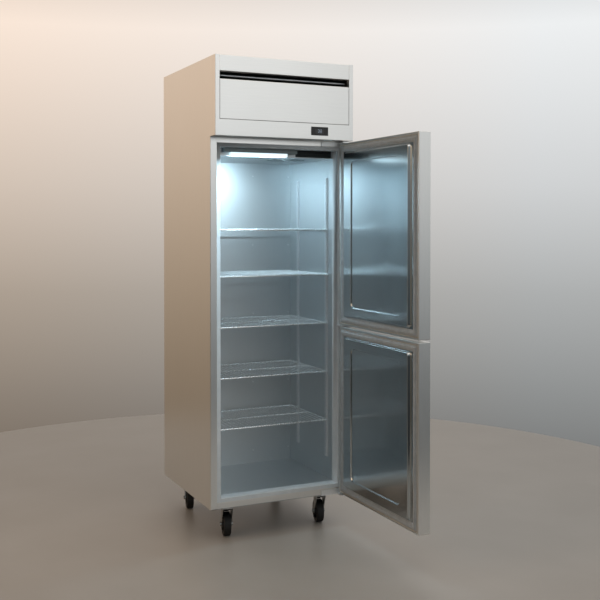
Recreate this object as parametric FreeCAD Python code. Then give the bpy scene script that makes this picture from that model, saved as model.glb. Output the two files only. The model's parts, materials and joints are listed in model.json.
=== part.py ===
import FreeCAD, Part
import math
import os

from FreeCAD import Vector

# A one-section, two-half-door reach-in refrigerator with its condensing unit in the header.
# Frame: origin on the floor, midway between the four casters. +X to the user's right, +Y to the
# back, +Z up. The two doors are stored 90 degrees open. Every length is in millimetres.

# ---------------------------------------------------------------- driving dimensions
overall_width = 638.0
overall_height = 2020.0
body_depth = 634.0            # insulated box, front plane to rear panel
header_height = 330.0         # front header that hides the machine compartment
compartment_height = 228.0    # machine compartment, deck to top edge
roof_insulation = 50.0
side_wall = 43.0              # outer face to the inner face of the liner
rear_wall = 50.0
sheet = 1.0                   # stainless sheet of skins and liners
heavy_sheet = 2.0             # base panel and deck

stile_width = 29.0            # face frame, each side of the opening
top_rail_height = 23.0
bottom_rail_height = 27.5
breaker_width = 16.5
breaker_depth = 52.0
breaker_sheet = 1.5

door_thickness = 53.0
gasket_gap = 5.0              # door's inner plane to the face frame when closed
door_gap_top = 10.0
door_gap_middle = 8.0
door_gap_bottom = 6.0
upper_door_height = 790.0
hinge_inset = 16.5            # hinge axis from the door's hinge edge
hinge_depth = 29.0            # hinge axis in front of the door's inner face
stored_opening = 90.0         # degrees
skin_return = 14.0            # door skin's flange on the inner face
gasket_inset = 18.0
gasket_width = 20.0
gasket_clearance = 0.3
dike_side = 58.0              # raised liner panel from the door's side edges
dike_end = 42.0               # and from its top and bottom edges
dike_height = 10.0
recess_margin_side = 62.0     # sunk centre of the panel from the dike's edge
recess_margin_end = 40.0
recess_depth = 4.5
bevel = 4.0
handle_width = 64.0
handle_height = 150.0
handle_depth = 28.0
handle_edge = 62.0            # pocket's centre from the free edge
handle_from_gap = 190.0       # and from the edge beside the other door
pin_radius = 5.0
pin_length = 20.0             # engaged in the door
running_clearance = 0.05
bush_radius = 8.0
bracket_plate = 4.0
bracket_leg = 5.0
middle_leg = 4.0
bracket_height = 20.0         # screwed plate of the top and bottom brackets
bracket_clearance = 2.5       # bracket leg to the door that it carries
bracket_reach = 110.0         # plate's length inwards from the hinge axis
middle_flange = 7.0           # height of the middle bracket's welded edge, in the gap between doors
screw_reaches = (30.0, 60.0, 90.0)   # hinge axis to each screw of a long bracket

evaporator_space = 123.0      # liner ceiling down to the evaporator cover
duct_depth = 86.0
pilaster_width = 16.0
pilaster_depth = 6.0
pilaster_front = 110.0        # behind the front plane
pilaster_rear_gap = 93.0      # in front of the duct panels
pilaster_bottom = 98.0        # above the cabinet floor
pilaster_top = 83.0           # below the evaporator cover
slot_pitch = 18.0
slot_height = 9.0
slot_width = 4.5

shelf_count = 5
shelf_first = 270.0           # lowest shelf above the cabinet floor
shelf_headroom = 313.5        # least height left above the highest shelf
shelf_front = 71.0            # front rod behind the front plane
shelf_rear_gap = 51.0         # rear rod in front of the duct panels
shelf_side_gap = 14.5         # liner to the shelf's side rod
frame_rod = 3.0               # radii
cross_rod = 2.5
wire_rod = 1.6
wire_weld = 0.6               # share of a wire's radius that stands above the frame rods
wire_pitch = 20.0
clip_gap = 0.3
clip_drop = 6.0               # hooked slot below the shelf's rod
duct_seam = 206.0             # lap of the two duct sheets from the right wall
lamp_inset = 26.5             # lamp from the left of the mouth
lamp_length = 337.0
lamp_height = 32.0

header_strip = 20.0
header_sill = 68.0            # strip under the service panel
slot_drop = 66.5              # top edge down to the vent slot
vent_height = 30.5
panel_return = 15.0
panel_gap = 1.0

wheel_radius = 50.0
wheel_width = 32.0
tread_clearance = 27.7        # wheel to the fork's underside
race_height = 10.0
race_gap = 0.3
hub_width = 36.0
axle_radius = 5.0
caster_trail = 30.0
caster_inset_x = 99.0         # kingpin from the cabinet's side
caster_inset_y = 66.0         # kingpin from the cabinet's front or rear
caster_angle = 13.0           # degrees that the trailing wheels are turned
caster_plate = (90.0, 70.0, 3.0)
bolt_spacing = (70.0, 48.0)
bolt_radius = 4.0
fork_sheet = 4.0
kingpin_radius = 6.0
lever_pin = 3.0
leg_gap = 0.5                 # wheel hub to fork leg

fan_radius = 92.0
evaporator_fan_radius = 84.0
shaft_radius = 4.0
line_radius = 6.0
gland_bore = 5.0
gland_thread = 10.0
gland_inset = 109.0           # from the cabinet's left side
gland_rise = 45.0             # above the deck
controller_size = (80.0, 36.5)
controller_inset = 123.0      # from the cabinet's right side
controller_rise = 18.0        # above the header's bottom edge
pivot_back = 8.0              # service panel's pivots behind its face and below its top
pivot_radius = 2.5
screw_radius = 3.0

# ---------------------------------------------------------------- worked out from them
base_height = (2 * wheel_radius + tread_clearance + fork_sheet + race_gap + race_height
               + caster_plate[2])
half_width = overall_width / 2
front_y = -body_depth / 2
rear_y = body_depth / 2
header_bottom = overall_height - header_height
deck_top = overall_height - compartment_height
ceiling = deck_top - heavy_sheet - roof_insulation
liner_half = half_width - side_wall
opening_half = half_width - stile_width
opening_bottom = base_height + bottom_rail_height
opening_top = header_bottom - top_rail_height
mouth_half = opening_half - breaker_width
mouth_bottom = opening_bottom + breaker_width
mouth_top = opening_top - breaker_width
cabinet_floor = mouth_bottom - breaker_sheet
cover_bottom = ceiling - evaporator_space
duct_front = rear_y - rear_wall - duct_depth

door_inner = front_y - gasket_gap
door_outer = door_inner - door_thickness
header_front = door_outer
upper_door_top = header_bottom - door_gap_top
upper_door_bottom = upper_door_top - upper_door_height
lower_door_top = upper_door_bottom - door_gap_middle
lower_door_bottom = base_height + door_gap_bottom
hinge_x = half_width - hinge_inset
hinge_y = door_inner - hinge_depth

slot_top = overall_height - slot_drop
slot_bottom = slot_top - vent_height
panel_bottom = header_bottom + header_sill + panel_gap
panel_top = slot_bottom - panel_gap
panel_half = half_width - header_strip - panel_gap

lamp_x = (-mouth_half + lamp_inset, -mouth_half + lamp_inset + lamp_length)
controller_x = (half_width - controller_inset - controller_size[0], half_width - controller_inset)
controller_z = (header_bottom + controller_rise, header_bottom + controller_rise + controller_size[1])
gland_x, gland_z = -half_width + gland_inset, deck_top + gland_rise
cover_front = front_y + breaker_depth + 2 * sheet
evaporator_y = (duct_front - 125.0, duct_front - 15.0)
evaporator_fan_place = (liner_half - 156.0, (cover_front + evaporator_y[0]) / 2)
compressor_place = (-half_width + 189.0, rear_y - 204.0)
suction_place = (compressor_place[0] + 110.0, evaporator_y[0] + 46.0)
condenser_x = (half_width - 429.0, half_width - 69.0)
fan_centre = ((condenser_x[0] + condenser_x[1]) / 2, deck_top + 106.0)
fan_plane = front_y + 100.0

shelf_half = liner_half - shelf_side_gap
shelf_depth = duct_front - shelf_rear_gap - front_y - shelf_front
pilaster_places = (front_y + pilaster_front, duct_front - pilaster_rear_gap)
slots_in_reach = int((cover_bottom - shelf_headroom - cabinet_floor - shelf_first) // slot_pitch)
shelf_heights = [
    cabinet_floor + shelf_first + slot_pitch * math.ceil(i * slots_in_reach / (shelf_count - 1))
    for i in range(shelf_count)
]

fork_top = base_height - caster_plate[2] - race_height - race_gap
lever_pivot = (20.0, fork_top - 15.0)

X, Y, Z = Vector(1, 0, 0), Vector(0, 1, 0), Vector(0, 0, 1)


# ---------------------------------------------------------------- shared shapes
def box(x, y, z):
    """A box between two limits on each axis."""
    low = [min(pair) for pair in (x, y, z)]
    high = [max(pair) for pair in (x, y, z)]
    size = [h - l for l, h in zip(low, high)]
    return Part.makeBox(*size, Vector(*low))


def rod(start, end, radius):
    """A round bar from one point to another."""
    start, end = Vector(*start), Vector(*end)
    return Part.makeCylinder(radius, (end - start).Length, start, end - start)


def ring(x, z, y, border):
    """A rectangular frame in the X-Z plane, with the same border on all sides."""
    inner = box((x[0] + border, x[1] - border), y, (z[0] + border, z[1] - border))
    return box(x, y, z).cut(inner)


def rounded_loop(x, z, y, radius):
    """A rectangle with round corners in the plane at y."""
    plate = box(x, (y, y + 1), z)
    upright = [e for e in plate.Edges if abs(e.tangentAt(e.FirstParameter).y) > 0.99]
    plate = plate.makeFillet(radius, upright)
    face = min(plate.Faces, key=lambda f: f.CenterOfMass.y)
    return face.OuterWire


def frustum(x, z, y_wide, y_narrow, slope, radius):
    """A plateau with round corners whose four flanks lean in by slope."""
    wide = rounded_loop(x, z, y_wide, radius)
    narrow = rounded_loop(
        (x[0] + slope, x[1] - slope), (z[0] + slope, z[1] - slope), y_narrow, radius - slope / 2
    )
    return Part.makeLoft([wide, narrow], True, True)


def union(shapes):
    first, rest = shapes[0], list(shapes[1:])
    return first.multiFuse(rest).removeSplitter() if rest else first


def turned(profile, start, axis):
    """A profile face spun a full turn."""
    return profile.revolve(start, axis, 360)


def polygon(points):
    return Part.Face(Part.makePolygon([Vector(*p) for p in points] + [Vector(*points[0])]))


def save(name, shape):
    shape.exportStep("parts/" + name + ".step")


def group(shapes):
    return Part.makeCompound(list(shapes))


# ---------------------------------------------------------------- insulated box
def liner_block(grow):
    """The cold space and its front throat as one block, grown by a sheet's thickness."""
    throat_half = mouth_half + breaker_sheet
    main = box(
        (-liner_half - grow, liner_half + grow),
        (front_y + breaker_depth + sheet - grow, rear_y - rear_wall + grow),
        (cabinet_floor - grow, ceiling + grow),
    )
    throat = box(
        (-throat_half - grow, throat_half + grow),
        (front_y + heavy_sheet, front_y + breaker_depth + 2 * sheet),
        (cabinet_floor - grow, mouth_top + breaker_sheet + grow),
    )
    return main.fuse(throat).removeSplitter()


def hinge_screw_places():
    """Centres of the countersunk hinge screws on the face frame's front."""
    top_z = header_bottom - bracket_clearance - bracket_height / 2
    bottom_z = base_height + heavy_sheet + bracket_height / 2
    return [(hinge_x - reach, z) for z in (top_z, bottom_z) for reach in screw_reaches]


def suction_line_hole(radius):
    x, y = suction_place
    return rod((x, y, ceiling - 5), (x, y, deck_top + 5), radius)


def caster_centres():
    """Kingpin centre and trailing direction of each caster, by name."""
    x = half_width - caster_inset_x
    y = body_depth / 2 - caster_inset_y
    return {
        "fl": (Vector(-x, -y, 0), -caster_angle),
        "fr": (Vector(x, -y, 0), -caster_angle),
        "rl": (Vector(-x, y, 0), 180 - caster_angle),
        "rr": (Vector(x, y, 0), 180 - caster_angle),
    }


def caster_bolt_places():
    dx, dy = bolt_spacing[0] / 2, bolt_spacing[1] / 2
    return [
        centre + Vector(sx * dx, sy * dy, 0)
        for centre, _ in caster_centres().values()
        for sx in (-1, 1)
        for sy in (-1, 1)
    ]


def make_box():
    inside = half_width - sheet
    depth = (front_y, rear_y - sheet)
    save("side_panel_left", box((-half_width, -inside), (front_y, rear_y), (base_height, overall_height)))
    save("side_panel_right", box((inside, half_width), (front_y, rear_y), (base_height, overall_height)))

    rear = box((-inside, inside), (rear_y - sheet, rear_y), (base_height, overall_height))
    louvre_length, louvre_height, louvre_pitch, louvre_rise = 150.0, 6.0, 16.0, 60.0
    louvres = [
        box((x, x + louvre_length), (rear_y - 5, rear_y + 5), (z, z + louvre_height))
        for x in (-80, 100)
        for z in [deck_top + louvre_rise + row * louvre_pitch for row in range(8)]
    ]
    cord_hole = rod((gland_x, rear_y - 5, gland_z), (gland_x, rear_y + 5, gland_z), gland_thread)
    save("rear_panel", rear.cut(group(louvres + [cord_hole])))

    base = box((-inside, inside), depth, (base_height, base_height + heavy_sheet))
    bolts = [rod((p.x, p.y, base_height - 9), (p.x, p.y, base_height + 9), bolt_radius)
             for p in caster_bolt_places()]
    save("base_panel", base.cut(group(bolts)))

    frame_z = (base_height + heavy_sheet, deck_top - heavy_sheet)
    frame = box((-inside, inside), (front_y, front_y + heavy_sheet), frame_z)
    frame = frame.cut(box((-opening_half, opening_half), (front_y - 1, front_y + 5),
                          (opening_bottom, opening_top)))
    taps = [rod((x, front_y - 1, z), (x, front_y + 5, z), screw_radius)
            for x, z in hinge_screw_places()]
    save("face_frame", frame.cut(group(taps)))

    deck = box((-inside, inside), depth, (deck_top - heavy_sheet, deck_top))
    line = suction_line_hole(line_radius)
    save("compartment_deck", deck.cut(line))

    foam = box((-inside, inside), (front_y + heavy_sheet, rear_y - sheet), frame_z)
    breakers = box((-mouth_half, mouth_half), (front_y, front_y + 10), (mouth_bottom, mouth_top))
    save("foam_insulation", foam.cut(liner_block(sheet)).cut(breakers).cut(line))

    liner = liner_block(sheet).cut(liner_block(0)).cut(line)
    mouth = box((-mouth_half, mouth_half), (front_y, front_y + 10), (mouth_bottom, mouth_top))
    save("liner_shell", liner.cut(mouth))


def make_breakers():
    """Four mitred trim strips that cover the joint between face frame and liner."""
    flange = box((-opening_half, opening_half), (front_y, front_y + breaker_sheet),
                 (opening_bottom, opening_top))
    outer = (-mouth_half - breaker_sheet, mouth_half + breaker_sheet)
    returns = box(outer, (front_y, front_y + breaker_depth),
                  (mouth_bottom - breaker_sheet, mouth_top + breaker_sheet))
    hole = box((-mouth_half, mouth_half), (front_y - 1, front_y + breaker_depth + 1),
               (mouth_bottom, mouth_top))
    trim = flange.fuse(returns).cut(hole).removeSplitter()
    lips = [e for e in trim.Edges
            if abs(e.BoundBox.YMin - front_y) < 1e-6 and abs(e.BoundBox.YMax - front_y) < 1e-6
            and e.BoundBox.XMin > -mouth_half - 0.1 and e.BoundBox.XMax < mouth_half + 0.1]
    trim = trim.makeFillet(breaker_sheet * 0.6, lips)
    low, high = (opening_bottom, mouth_bottom), (opening_top, mouth_top)
    strips = []
    for x_out, x_in in ((-opening_half, -mouth_half), (opening_half, mouth_half)):
        corners = [(x_out, low[0]), (x_in, low[1]), (x_in, high[1]), (x_out, high[0])]
        strips.append(corners)
    for z_out, z_in in (low, high):
        corners = [(-opening_half, z_out), (-mouth_half, z_in), (mouth_half, z_in), (opening_half, z_out)]
        strips.append(corners)
    solids = []
    for corners in strips:
        prism = polygon([(x, front_y - 1, z) for x, z in corners]).extrude(Y * (breaker_depth + 2))
        solids.append(trim.common(prism))
    save("breaker_strips", group(solids))


# ---------------------------------------------------------------- cold space fittings
def make_pilasters():
    z = (cabinet_floor + pilaster_bottom, cover_bottom - pilaster_top)
    wall = 1.2
    pieces = []
    for side in (-1, 1):
        for y in pilaster_places:
            face = side * (liner_half - pilaster_depth)
            ys = (y - pilaster_width / 2, y + pilaster_width / 2)
            channel = box((face, side * liner_half), ys, z)
            inner = box((face + side * wall, side * (liner_half + 1)),
                        (ys[0] + wall, ys[1] - wall), (z[0] - 1, z[1] + 1))
            hooked = shelf_heights[0] - clip_drop
            first = hooked - (hooked - z[0] - slot_height) // slot_pitch * slot_pitch
            count = int((z[1] - slot_height - first) // slot_pitch) + 1
            slots = []
            for i in range(count):
                centre = first + i * slot_pitch
                slots.append(box((face - side, face + side * 2 * wall),
                                 (y - slot_width / 2, y + slot_width / 2),
                                 (centre - slot_height / 2, centre + slot_height / 2)))
            pieces.append(channel.cut(inner).cut(group(slots)))
    save("pilasters", group(pieces))


def make_clips():
    """One hooked clip at each pilaster under every shelf."""
    half_clip, half_hook = 6.0, 2.0
    ledge_sheet, stem_sheet, stem_height, hook_half_height = 2.5, 1.5, 14.0, 3.5
    reach = shelf_side_gap - pilaster_depth + 2 * frame_rod
    pieces = []
    for height in shelf_heights:
        top = height - frame_rod - clip_gap
        hook_z = (height - clip_drop - hook_half_height, height - clip_drop + hook_half_height)
        for side in (-1, 1):
            face = side * (liner_half - pilaster_depth)
            for y in pilaster_places:
                width = (y - half_clip, y + half_clip)
                ledge = box((face, face - side * reach), width, (top - ledge_sheet, top))
                stem = box((face, face - side * stem_sheet), width, (top - stem_height, top))
                hook = box((face - side, face + side * ledge_sheet), (y - half_hook, y + half_hook), hook_z)
                pieces.append(union([ledge, stem, hook]))
    save("shelf_clips", group(pieces))


def make_shelves():
    """Welded wire shelves: a frame of rods, one cross rod and wires that run front to back."""
    y0, y1 = front_y + shelf_front, front_y + shelf_front + shelf_depth
    x = shelf_half - frame_rod
    for number, height in enumerate(shelf_heights, start=1):
        corners = [(-x, y0, height), (x, y0, height), (x, y1, height), (-x, y1, height)]
        pieces = [rod(a, b, frame_rod) for a, b in zip(corners, corners[1:] + corners[:1])]
        pieces += [Part.makeSphere(frame_rod, Vector(*c)) for c in corners]
        middle, cross_z = (y0 + y1) / 2, height + frame_rod - cross_rod
        pieces.append(rod((-x, middle, cross_z), (x, middle, cross_z), cross_rod))
        gaps = int((2 * x) // wire_pitch)
        wire_z = height + frame_rod + wire_rod * wire_weld
        for i in range(gaps + 1):
            at = (i - gaps / 2) * wire_pitch
            pieces.append(rod((at, y0 - frame_rod, wire_z), (at, y1 + frame_rod, wire_z), wire_rod))
        save("shelf_%d" % number, union(pieces))


def make_duct_panels():
    """Two sheets, lapped edge to edge, that stand off the rear liner as the air duct's front."""
    seam_x = liner_half - duct_seam
    z = (cabinet_floor, cover_bottom)
    foot = (duct_front, rear_y - rear_wall)
    wide = union([
        box((-liner_half, seam_x), (duct_front, duct_front + sheet), z),
        box((-liner_half, -liner_half + sheet), foot, z),
    ])
    narrow = union([
        box((seam_x, liner_half), (duct_front, duct_front + sheet), z),
        box((liner_half - sheet, liner_half), foot, z),
    ])
    save("rear_duct_panels", group([wide, narrow]))


def make_evaporator():
    """The cover with its ringed fan guard and discharge slots, the coil, and the fan and motor."""
    fan_x, fan_y = evaporator_fan_place
    inside, front, low = liner_half, cover_front, cover_bottom
    rim = 44.0
    past = 5.0                # tools reach this far through the sheet
    tray = box((-inside, inside), (front, duct_front), (low, low + sheet))
    fascia = box((-inside, inside), (front, front + sheet), (low, low + rim))
    rims = [box((s * inside, s * (inside - sheet)), (front, duct_front), (low, low + rim))
            for s in (-1, 1)]
    hole = rod((fan_x, fan_y, low - 1), (fan_x, fan_y, low + past), evaporator_fan_radius + 6)
    cover = union([tray, fascia] + rims).cut(hole)

    ring_first, ring_pitch, ring_half, spoke_half = 18, 14, 1.5, 2.0
    reach = evaporator_fan_radius + 8
    guard = []
    for radius in range(ring_first, int(reach), ring_pitch):
        outer = rod((fan_x, fan_y, low), (fan_x, fan_y, low + sheet), radius + ring_half)
        inner = rod((fan_x, fan_y, low - 1), (fan_x, fan_y, low + past), radius - ring_half)
        guard.append(outer.cut(inner))
    guard.append(box((fan_x - reach, fan_x + reach), (fan_y - spoke_half, fan_y + spoke_half),
                     (low, low + sheet)))
    guard.append(box((fan_x - spoke_half, fan_x + spoke_half), (fan_y - reach, fan_y + reach),
                     (low, low + sheet)))
    slot_length, vent_pitch, slot_rear, slot_front = 14, 24, 36, 40
    slots = [box((x, x + slot_length), (duct_front - slot_front, duct_front - slot_rear),
                 (low - 1, low + past))
             for x in range(-int(inside) + 30, int(inside) - 40, vent_pitch)]
    save("evaporator_cover", union([cover] + guard).cut(group(slots)))

    coil_z = (low + 12, ceiling - 10)
    coil_x = (-inside + 41, inside - 61)
    fin_pitch = 9.0
    save("evaporator_coil", finned_coil(coil_x, evaporator_y, coil_z, fin_pitch))

    hub_radius, blade_depth = 26.0, 20.0
    fan_back = low + 14
    blades = fan_blades(evaporator_fan_radius, hub_radius, blade_depth)
    blades.translate(Vector(fan_x, fan_y, fan_back))
    save("evaporator_fan", blades)
    motor_radius, motor_rise = 36, 32
    bracket = (70, 12, 4)     # half length, half width, drop below the ceiling
    top = ceiling - bracket[2]
    motor = union([
        rod((fan_x, fan_y, fan_back + motor_rise), (fan_x, fan_y, top), motor_radius),
        rod((fan_x, fan_y, fan_back + 3), (fan_x, fan_y, fan_back + motor_rise + 1), shaft_radius),
        box((fan_x - bracket[0], fan_x + bracket[0]), (fan_y - bracket[1], fan_y + bracket[1]),
            (top - 2, ceiling)),
    ])
    return motor


def finned_coil(x, y, z, pitch):
    """A stack of plate fins on two rows of three tubes."""
    fin, overhang, tube_radius = 0.8, 6, 5.0
    count = int((x[1] - x[0]) // pitch)
    fins = [box((x[0] + i * pitch, x[0] + i * pitch + fin), y, z) for i in range(count + 1)]
    rows = [y[0] + (y[1] - y[0]) * share for share in (0.25, 0.75)]
    levels = [z[0] + (z[1] - z[0]) * share for share in (0.15, 0.5, 0.85)]
    tubes = [rod((x[0] - overhang, a, b), (x[1] + overhang, a, b), tube_radius) for a in rows for b in levels]
    return union(fins + tubes)


def fan_blades(radius, hub_radius, depth):
    """A fan about Z with its back at z = 0: a bored hub and five pitched blades."""
    blade_count, blade_pitch, blade_share = 5, 24, 0.26
    hub = rod((0, 0, 0), (0, 0, depth), hub_radius)
    blades = []
    for i in range(blade_count):
        half = radius * blade_share
        blade = box((hub_radius - 4, radius - 2), (-half, half), (-1, 1))
        blade.rotate(Vector(), X, blade_pitch)
        blade.translate(Vector(0, 0, depth / 2))
        blade.rotate(Vector(), Z, i * 360 / blade_count)
        blades.append(blade)
    fan = union([hub] + blades).common(rod((0, 0, 0), (0, 0, depth), radius))
    bore = rod((0, 0, -1), (0, 0, depth + 1), shaft_radius + running_clearance)
    return fan.cut(bore)


def make_lamp():
    """A housing across the top of the mouth, with a diffuser under it."""
    behind_front, top_gap, lens_share = 24, 1.0, 0.56
    lens_left, lens_right, lens_edge = 19, 30, 6.0
    y = (front_y + behind_front, cover_front)
    top = mouth_top - top_gap
    bottom = top - lamp_height
    split = top - lamp_height * lens_share
    save("lamp_housing", box(lamp_x, y, (split, top)))
    lens = box((lamp_x[0] + lens_left, lamp_x[1] - lens_right), (y[0] + 1, y[1] - 1), (bottom, split))
    low_edges = [e for e in lens.Edges if e.BoundBox.ZMax < bottom + 0.1]
    save("lamp_diffuser", lens.makeFillet(lens_edge, low_edges))


# ---------------------------------------------------------------- header and condensing unit
def make_header():
    """The hood, its upper panel, the hinged service panel, the vent tray and the controller."""
    past = 5.0                # tools reach this far through the sheet
    outer = box((-half_width, half_width), (header_front, front_y), (header_bottom, overall_height))
    inner = box((-half_width + sheet, half_width - sheet), (header_front + sheet, front_y + 1),
                (header_bottom + sheet, overall_height + 1))
    window_half = half_width - header_strip
    window = box((-window_half, window_half), (header_front - 1, header_front + past),
                 (header_bottom + header_sill, overall_height + 1))
    bezel_lap = 3.0
    case_x = (controller_x[0] + bezel_lap, controller_x[1] - bezel_lap)
    case_z = (controller_z[0] + bezel_lap, controller_z[1] - bezel_lap)
    frame = outer.cut(inner).cut(window).cut(box(case_x, (header_front - 1, header_front + past), case_z))

    ear_size, ear_web = 16.0, 2.0
    ear_inner, ear_outer = panel_half + 2, panel_half + 5
    pivot_y, pivot_z = header_front + pivot_back, panel_top - pivot_back
    ears = []
    for side in (-1, 1):
        ear = box((side * ear_inner, side * ear_outer), (header_front + sheet, header_front + ear_size),
                  (panel_top - ear_size, panel_top))
        web = box((side * ear_inner, side * (half_width - sheet)),
                  (header_front + ear_size - ear_web, header_front + ear_size),
                  (panel_top - ear_size, panel_top))
        hole = rod((side * (ear_inner - 1), pivot_y, pivot_z), (side * (ear_outer + 1), pivot_y, pivot_z),
                   pivot_radius + running_clearance)
        ears.append(ear.fuse(web).cut(hole))
    save("header_frame", union([frame] + ears))

    lip = 17.0
    top_panel = union([
        box((-panel_half, panel_half), (header_front, header_front + sheet), (slot_top, overall_height)),
        box((-panel_half, panel_half), (header_front, front_y), (overall_height - sheet, overall_height)),
        box((-panel_half, panel_half), (header_front, header_front + lip), (slot_top, slot_top + sheet)),
    ])
    save("header_upper_panel", top_panel)

    panel = box((-panel_half, panel_half), (header_front, header_front + panel_return),
                (panel_bottom, panel_top))
    hollow = box((-panel_half + sheet, panel_half - sheet),
                 (header_front + sheet, header_front + panel_return + 1),
                 (panel_bottom + sheet, panel_top - sheet))
    pivots = [rod((s * (panel_half - 2), pivot_y, pivot_z), (s * ear_outer, pivot_y, pivot_z), pivot_radius)
              for s in (-1, 1)]
    save("service_panel", union([panel.cut(hollow)] + pivots))

    tray_wall, tray_depth = 1.5, 32.0
    tray_y = (header_front + 18, header_front + 18 + tray_depth)
    tray = box((-panel_half, panel_half), tray_y, (slot_bottom - tray_wall, slot_top))
    trough = box((-panel_half + tray_wall, panel_half - tray_wall), (tray_y[0] - 1, tray_y[1] - 2),
                 (slot_bottom, slot_top - tray_wall))
    vent_width, vent_step = 16, 22
    vents = [box((x, x + vent_width), (tray_y[1] - past, tray_y[1] + past), (slot_bottom + 5, slot_top - 6))
             for x in range(-int(panel_half) + 10, int(panel_half) - 20, vent_step)]
    save("vent_grille", tray.cut(trough).cut(group(vents)))

    blade_height, blade_rise, blade_y = 7.5, 2.0, (14.0, 26.0)
    middle = (slot_bottom + slot_top) / 2 + blade_rise
    save("vent_blade", box((-panel_half + tray_wall, panel_half - tray_wall),
                           (tray_y[0] + blade_y[0], tray_y[0] + blade_y[1]),
                           (middle - blade_height / 2, middle + blade_height / 2)))

    proud, case_gap = 2.0, 8.0
    window_side, window_end, window_sunk = 18, 8, 1.4
    bezel = box(controller_x, (header_front - proud, header_front), controller_z)
    body = box(case_x, (header_front - proud, front_y - case_gap), case_z)
    glass = box((controller_x[0] + window_side, controller_x[1] - window_side),
                (header_front - proud - 1, header_front - window_sunk),
                (controller_z[0] + window_end, controller_z[1] - window_end))
    save("controller_case", bezel.fuse(body).cut(glass).removeSplitter())


def make_condensing_unit(evaporator_motor):
    """On the deck: coil and shroud, fan and motor, compressor, box of controls, lines and gland."""
    coil_x, coil_y = condenser_x, (front_y + 14.0, front_y + 66.0)
    coil_z = (deck_top + 6.0, deck_top + 206.0)
    fin_pitch, wall = 6.0, 1.5
    coil = finned_coil(coil_x, coil_y, coil_z, fin_pitch)
    shroud_back, shroud_top = coil_y[1] + 60, coil_z[1] + 4
    shroud = box(coil_x, (coil_y[1], shroud_back), (deck_top, shroud_top))
    shroud = shroud.cut(box((coil_x[0] + wall, coil_x[1] - wall), (coil_y[1] - 1, shroud_back - wall),
                            (deck_top + wall, shroud_top - wall)))
    tip_gap = 4.0
    orifice = rod((fan_centre[0], shroud_back - 10, fan_centre[1]),
                  (fan_centre[0], shroud_back + 10, fan_centre[1]), fan_radius + tip_gap)
    save("condenser_coil", group([coil, shroud.cut(orifice)]))

    hub_radius, blade_depth = 24.0, 24.0
    blades = fan_blades(fan_radius, hub_radius, blade_depth)
    blades.rotate(Vector(), X, -90)
    blades.translate(Vector(fan_centre[0], fan_plane, fan_centre[1]))
    save("condenser_fan", blades)
    fx, fz = fan_centre
    motor_radius, motor_front, motor_back = 40.0, fan_plane + 44, fan_plane + 100
    stand_half, foot_half, foot_sheet = 14, 45, 3
    motor = union([
        rod((fx, fan_plane + 4, fz), (fx, motor_front + 1, fz), shaft_radius),
        rod((fx, motor_front, fz), (fx, motor_back, fz), motor_radius),
        box((fx - stand_half, fx + stand_half), (motor_front + 16, motor_back - 16),
            (deck_top, fz - motor_radius + 10)),
        box((fx - foot_half, fx + foot_half), (motor_front + 11, motor_back - 10),
            (deck_top, deck_top + foot_sheet)),
    ])
    save("fan_motors", group([motor, evaporator_motor]))

    cx, cy = compressor_place
    pad_height, foot_sheet, foot_half_length, foot_half_width = 12.0, 4.0, 92, 12
    pad_x, pad_y, pad_radius = 80, 58, 9.0
    z0 = deck_top + pad_height + foot_sheet
    outline = [(0, 0), (62, 0), (76, 14), (76, 84), (72, 88), (72, 120), (48, 158), (0, 166)]
    shell = turned(polygon([(x, 0, z0 + z) for x, z in outline]), Vector(), Z)
    shell.translate(Vector(cx, cy, 0))
    feet = [box((cx - foot_half_length, cx + foot_half_length),
                (cy + s * pad_y - foot_half_width, cy + s * pad_y + foot_half_width),
                (z0 - foot_sheet, z0 + 1))
            for s in (-1, 1)]
    pads = [rod((cx + sx * pad_x, cy + sy * pad_y, deck_top),
                (cx + sx * pad_x, cy + sy * pad_y, z0 - foot_sheet), pad_radius)
            for sx in (-1, 1) for sy in (-1, 1)]
    terminal = box((cx + 60, cx + 96), (cy - 24, cy + 24), (z0 + 34, z0 + 76))
    save("compressor", union([shell, terminal] + feet + pads))

    ebox_x = (-half_width + 19, -half_width + 129)
    ebox_y = (front_y + 60, front_y + 230)
    ebox_z = (deck_top, deck_top + 96)
    case = box(ebox_x, ebox_y, ebox_z).cut(box(
        (ebox_x[0] + wall, ebox_x[1] - wall), (ebox_y[0] + wall, ebox_y[1] - wall),
        (ebox_z[0] + wall, ebox_z[1] - wall)))
    save("electrical_box", case)

    sx, sy = suction_place
    suction_top = deck_top + 120.0
    suction = line_route([(sx, sy, ceiling - 10), (sx, sy, suction_top), (cx + 46, sy, suction_top)])
    stub_x, run_y, line_z = cx - 30, cy - 120, z0 + 60
    turn_x, inlet_x, inlet_y = coil_x[0] - 40.0, coil_x[0] - 6.5, coil_y[0] + 30
    discharge = line_route([
        (stub_x, cy - 66, line_z), (stub_x, run_y, line_z), (turn_x, run_y, line_z),
        (turn_x, inlet_y, line_z), (inlet_x, inlet_y, line_z),
    ])
    save("refrigerant_lines", group([suction.cut(shell), discharge.cut(shell)]))

    thread_half, nut_depth, nut_radius = 14, 8, 15.0
    collar_depth, collar_radius, cap_wide, cap_narrow, cap_length = 6, 16.0, 14.0, 9.0, 16.0
    gland = rod((gland_x, rear_y - thread_half, gland_z), (gland_x, rear_y + thread_half, gland_z),
                gland_thread)
    nut = rod((gland_x, rear_y - nut_depth, gland_z), (gland_x, rear_y - sheet, gland_z), nut_radius)
    collar = rod((gland_x, rear_y, gland_z), (gland_x, rear_y + collar_depth, gland_z), collar_radius)
    cap = Part.makeCone(cap_wide, cap_narrow, cap_length, Vector(gland_x, rear_y + collar_depth, gland_z), Y)
    bore = rod((gland_x, rear_y - 20, gland_z), (gland_x, rear_y + 30, gland_z), gland_bore)
    save("cord_gland", union([gland, nut, collar, cap]).cut(bore))


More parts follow.
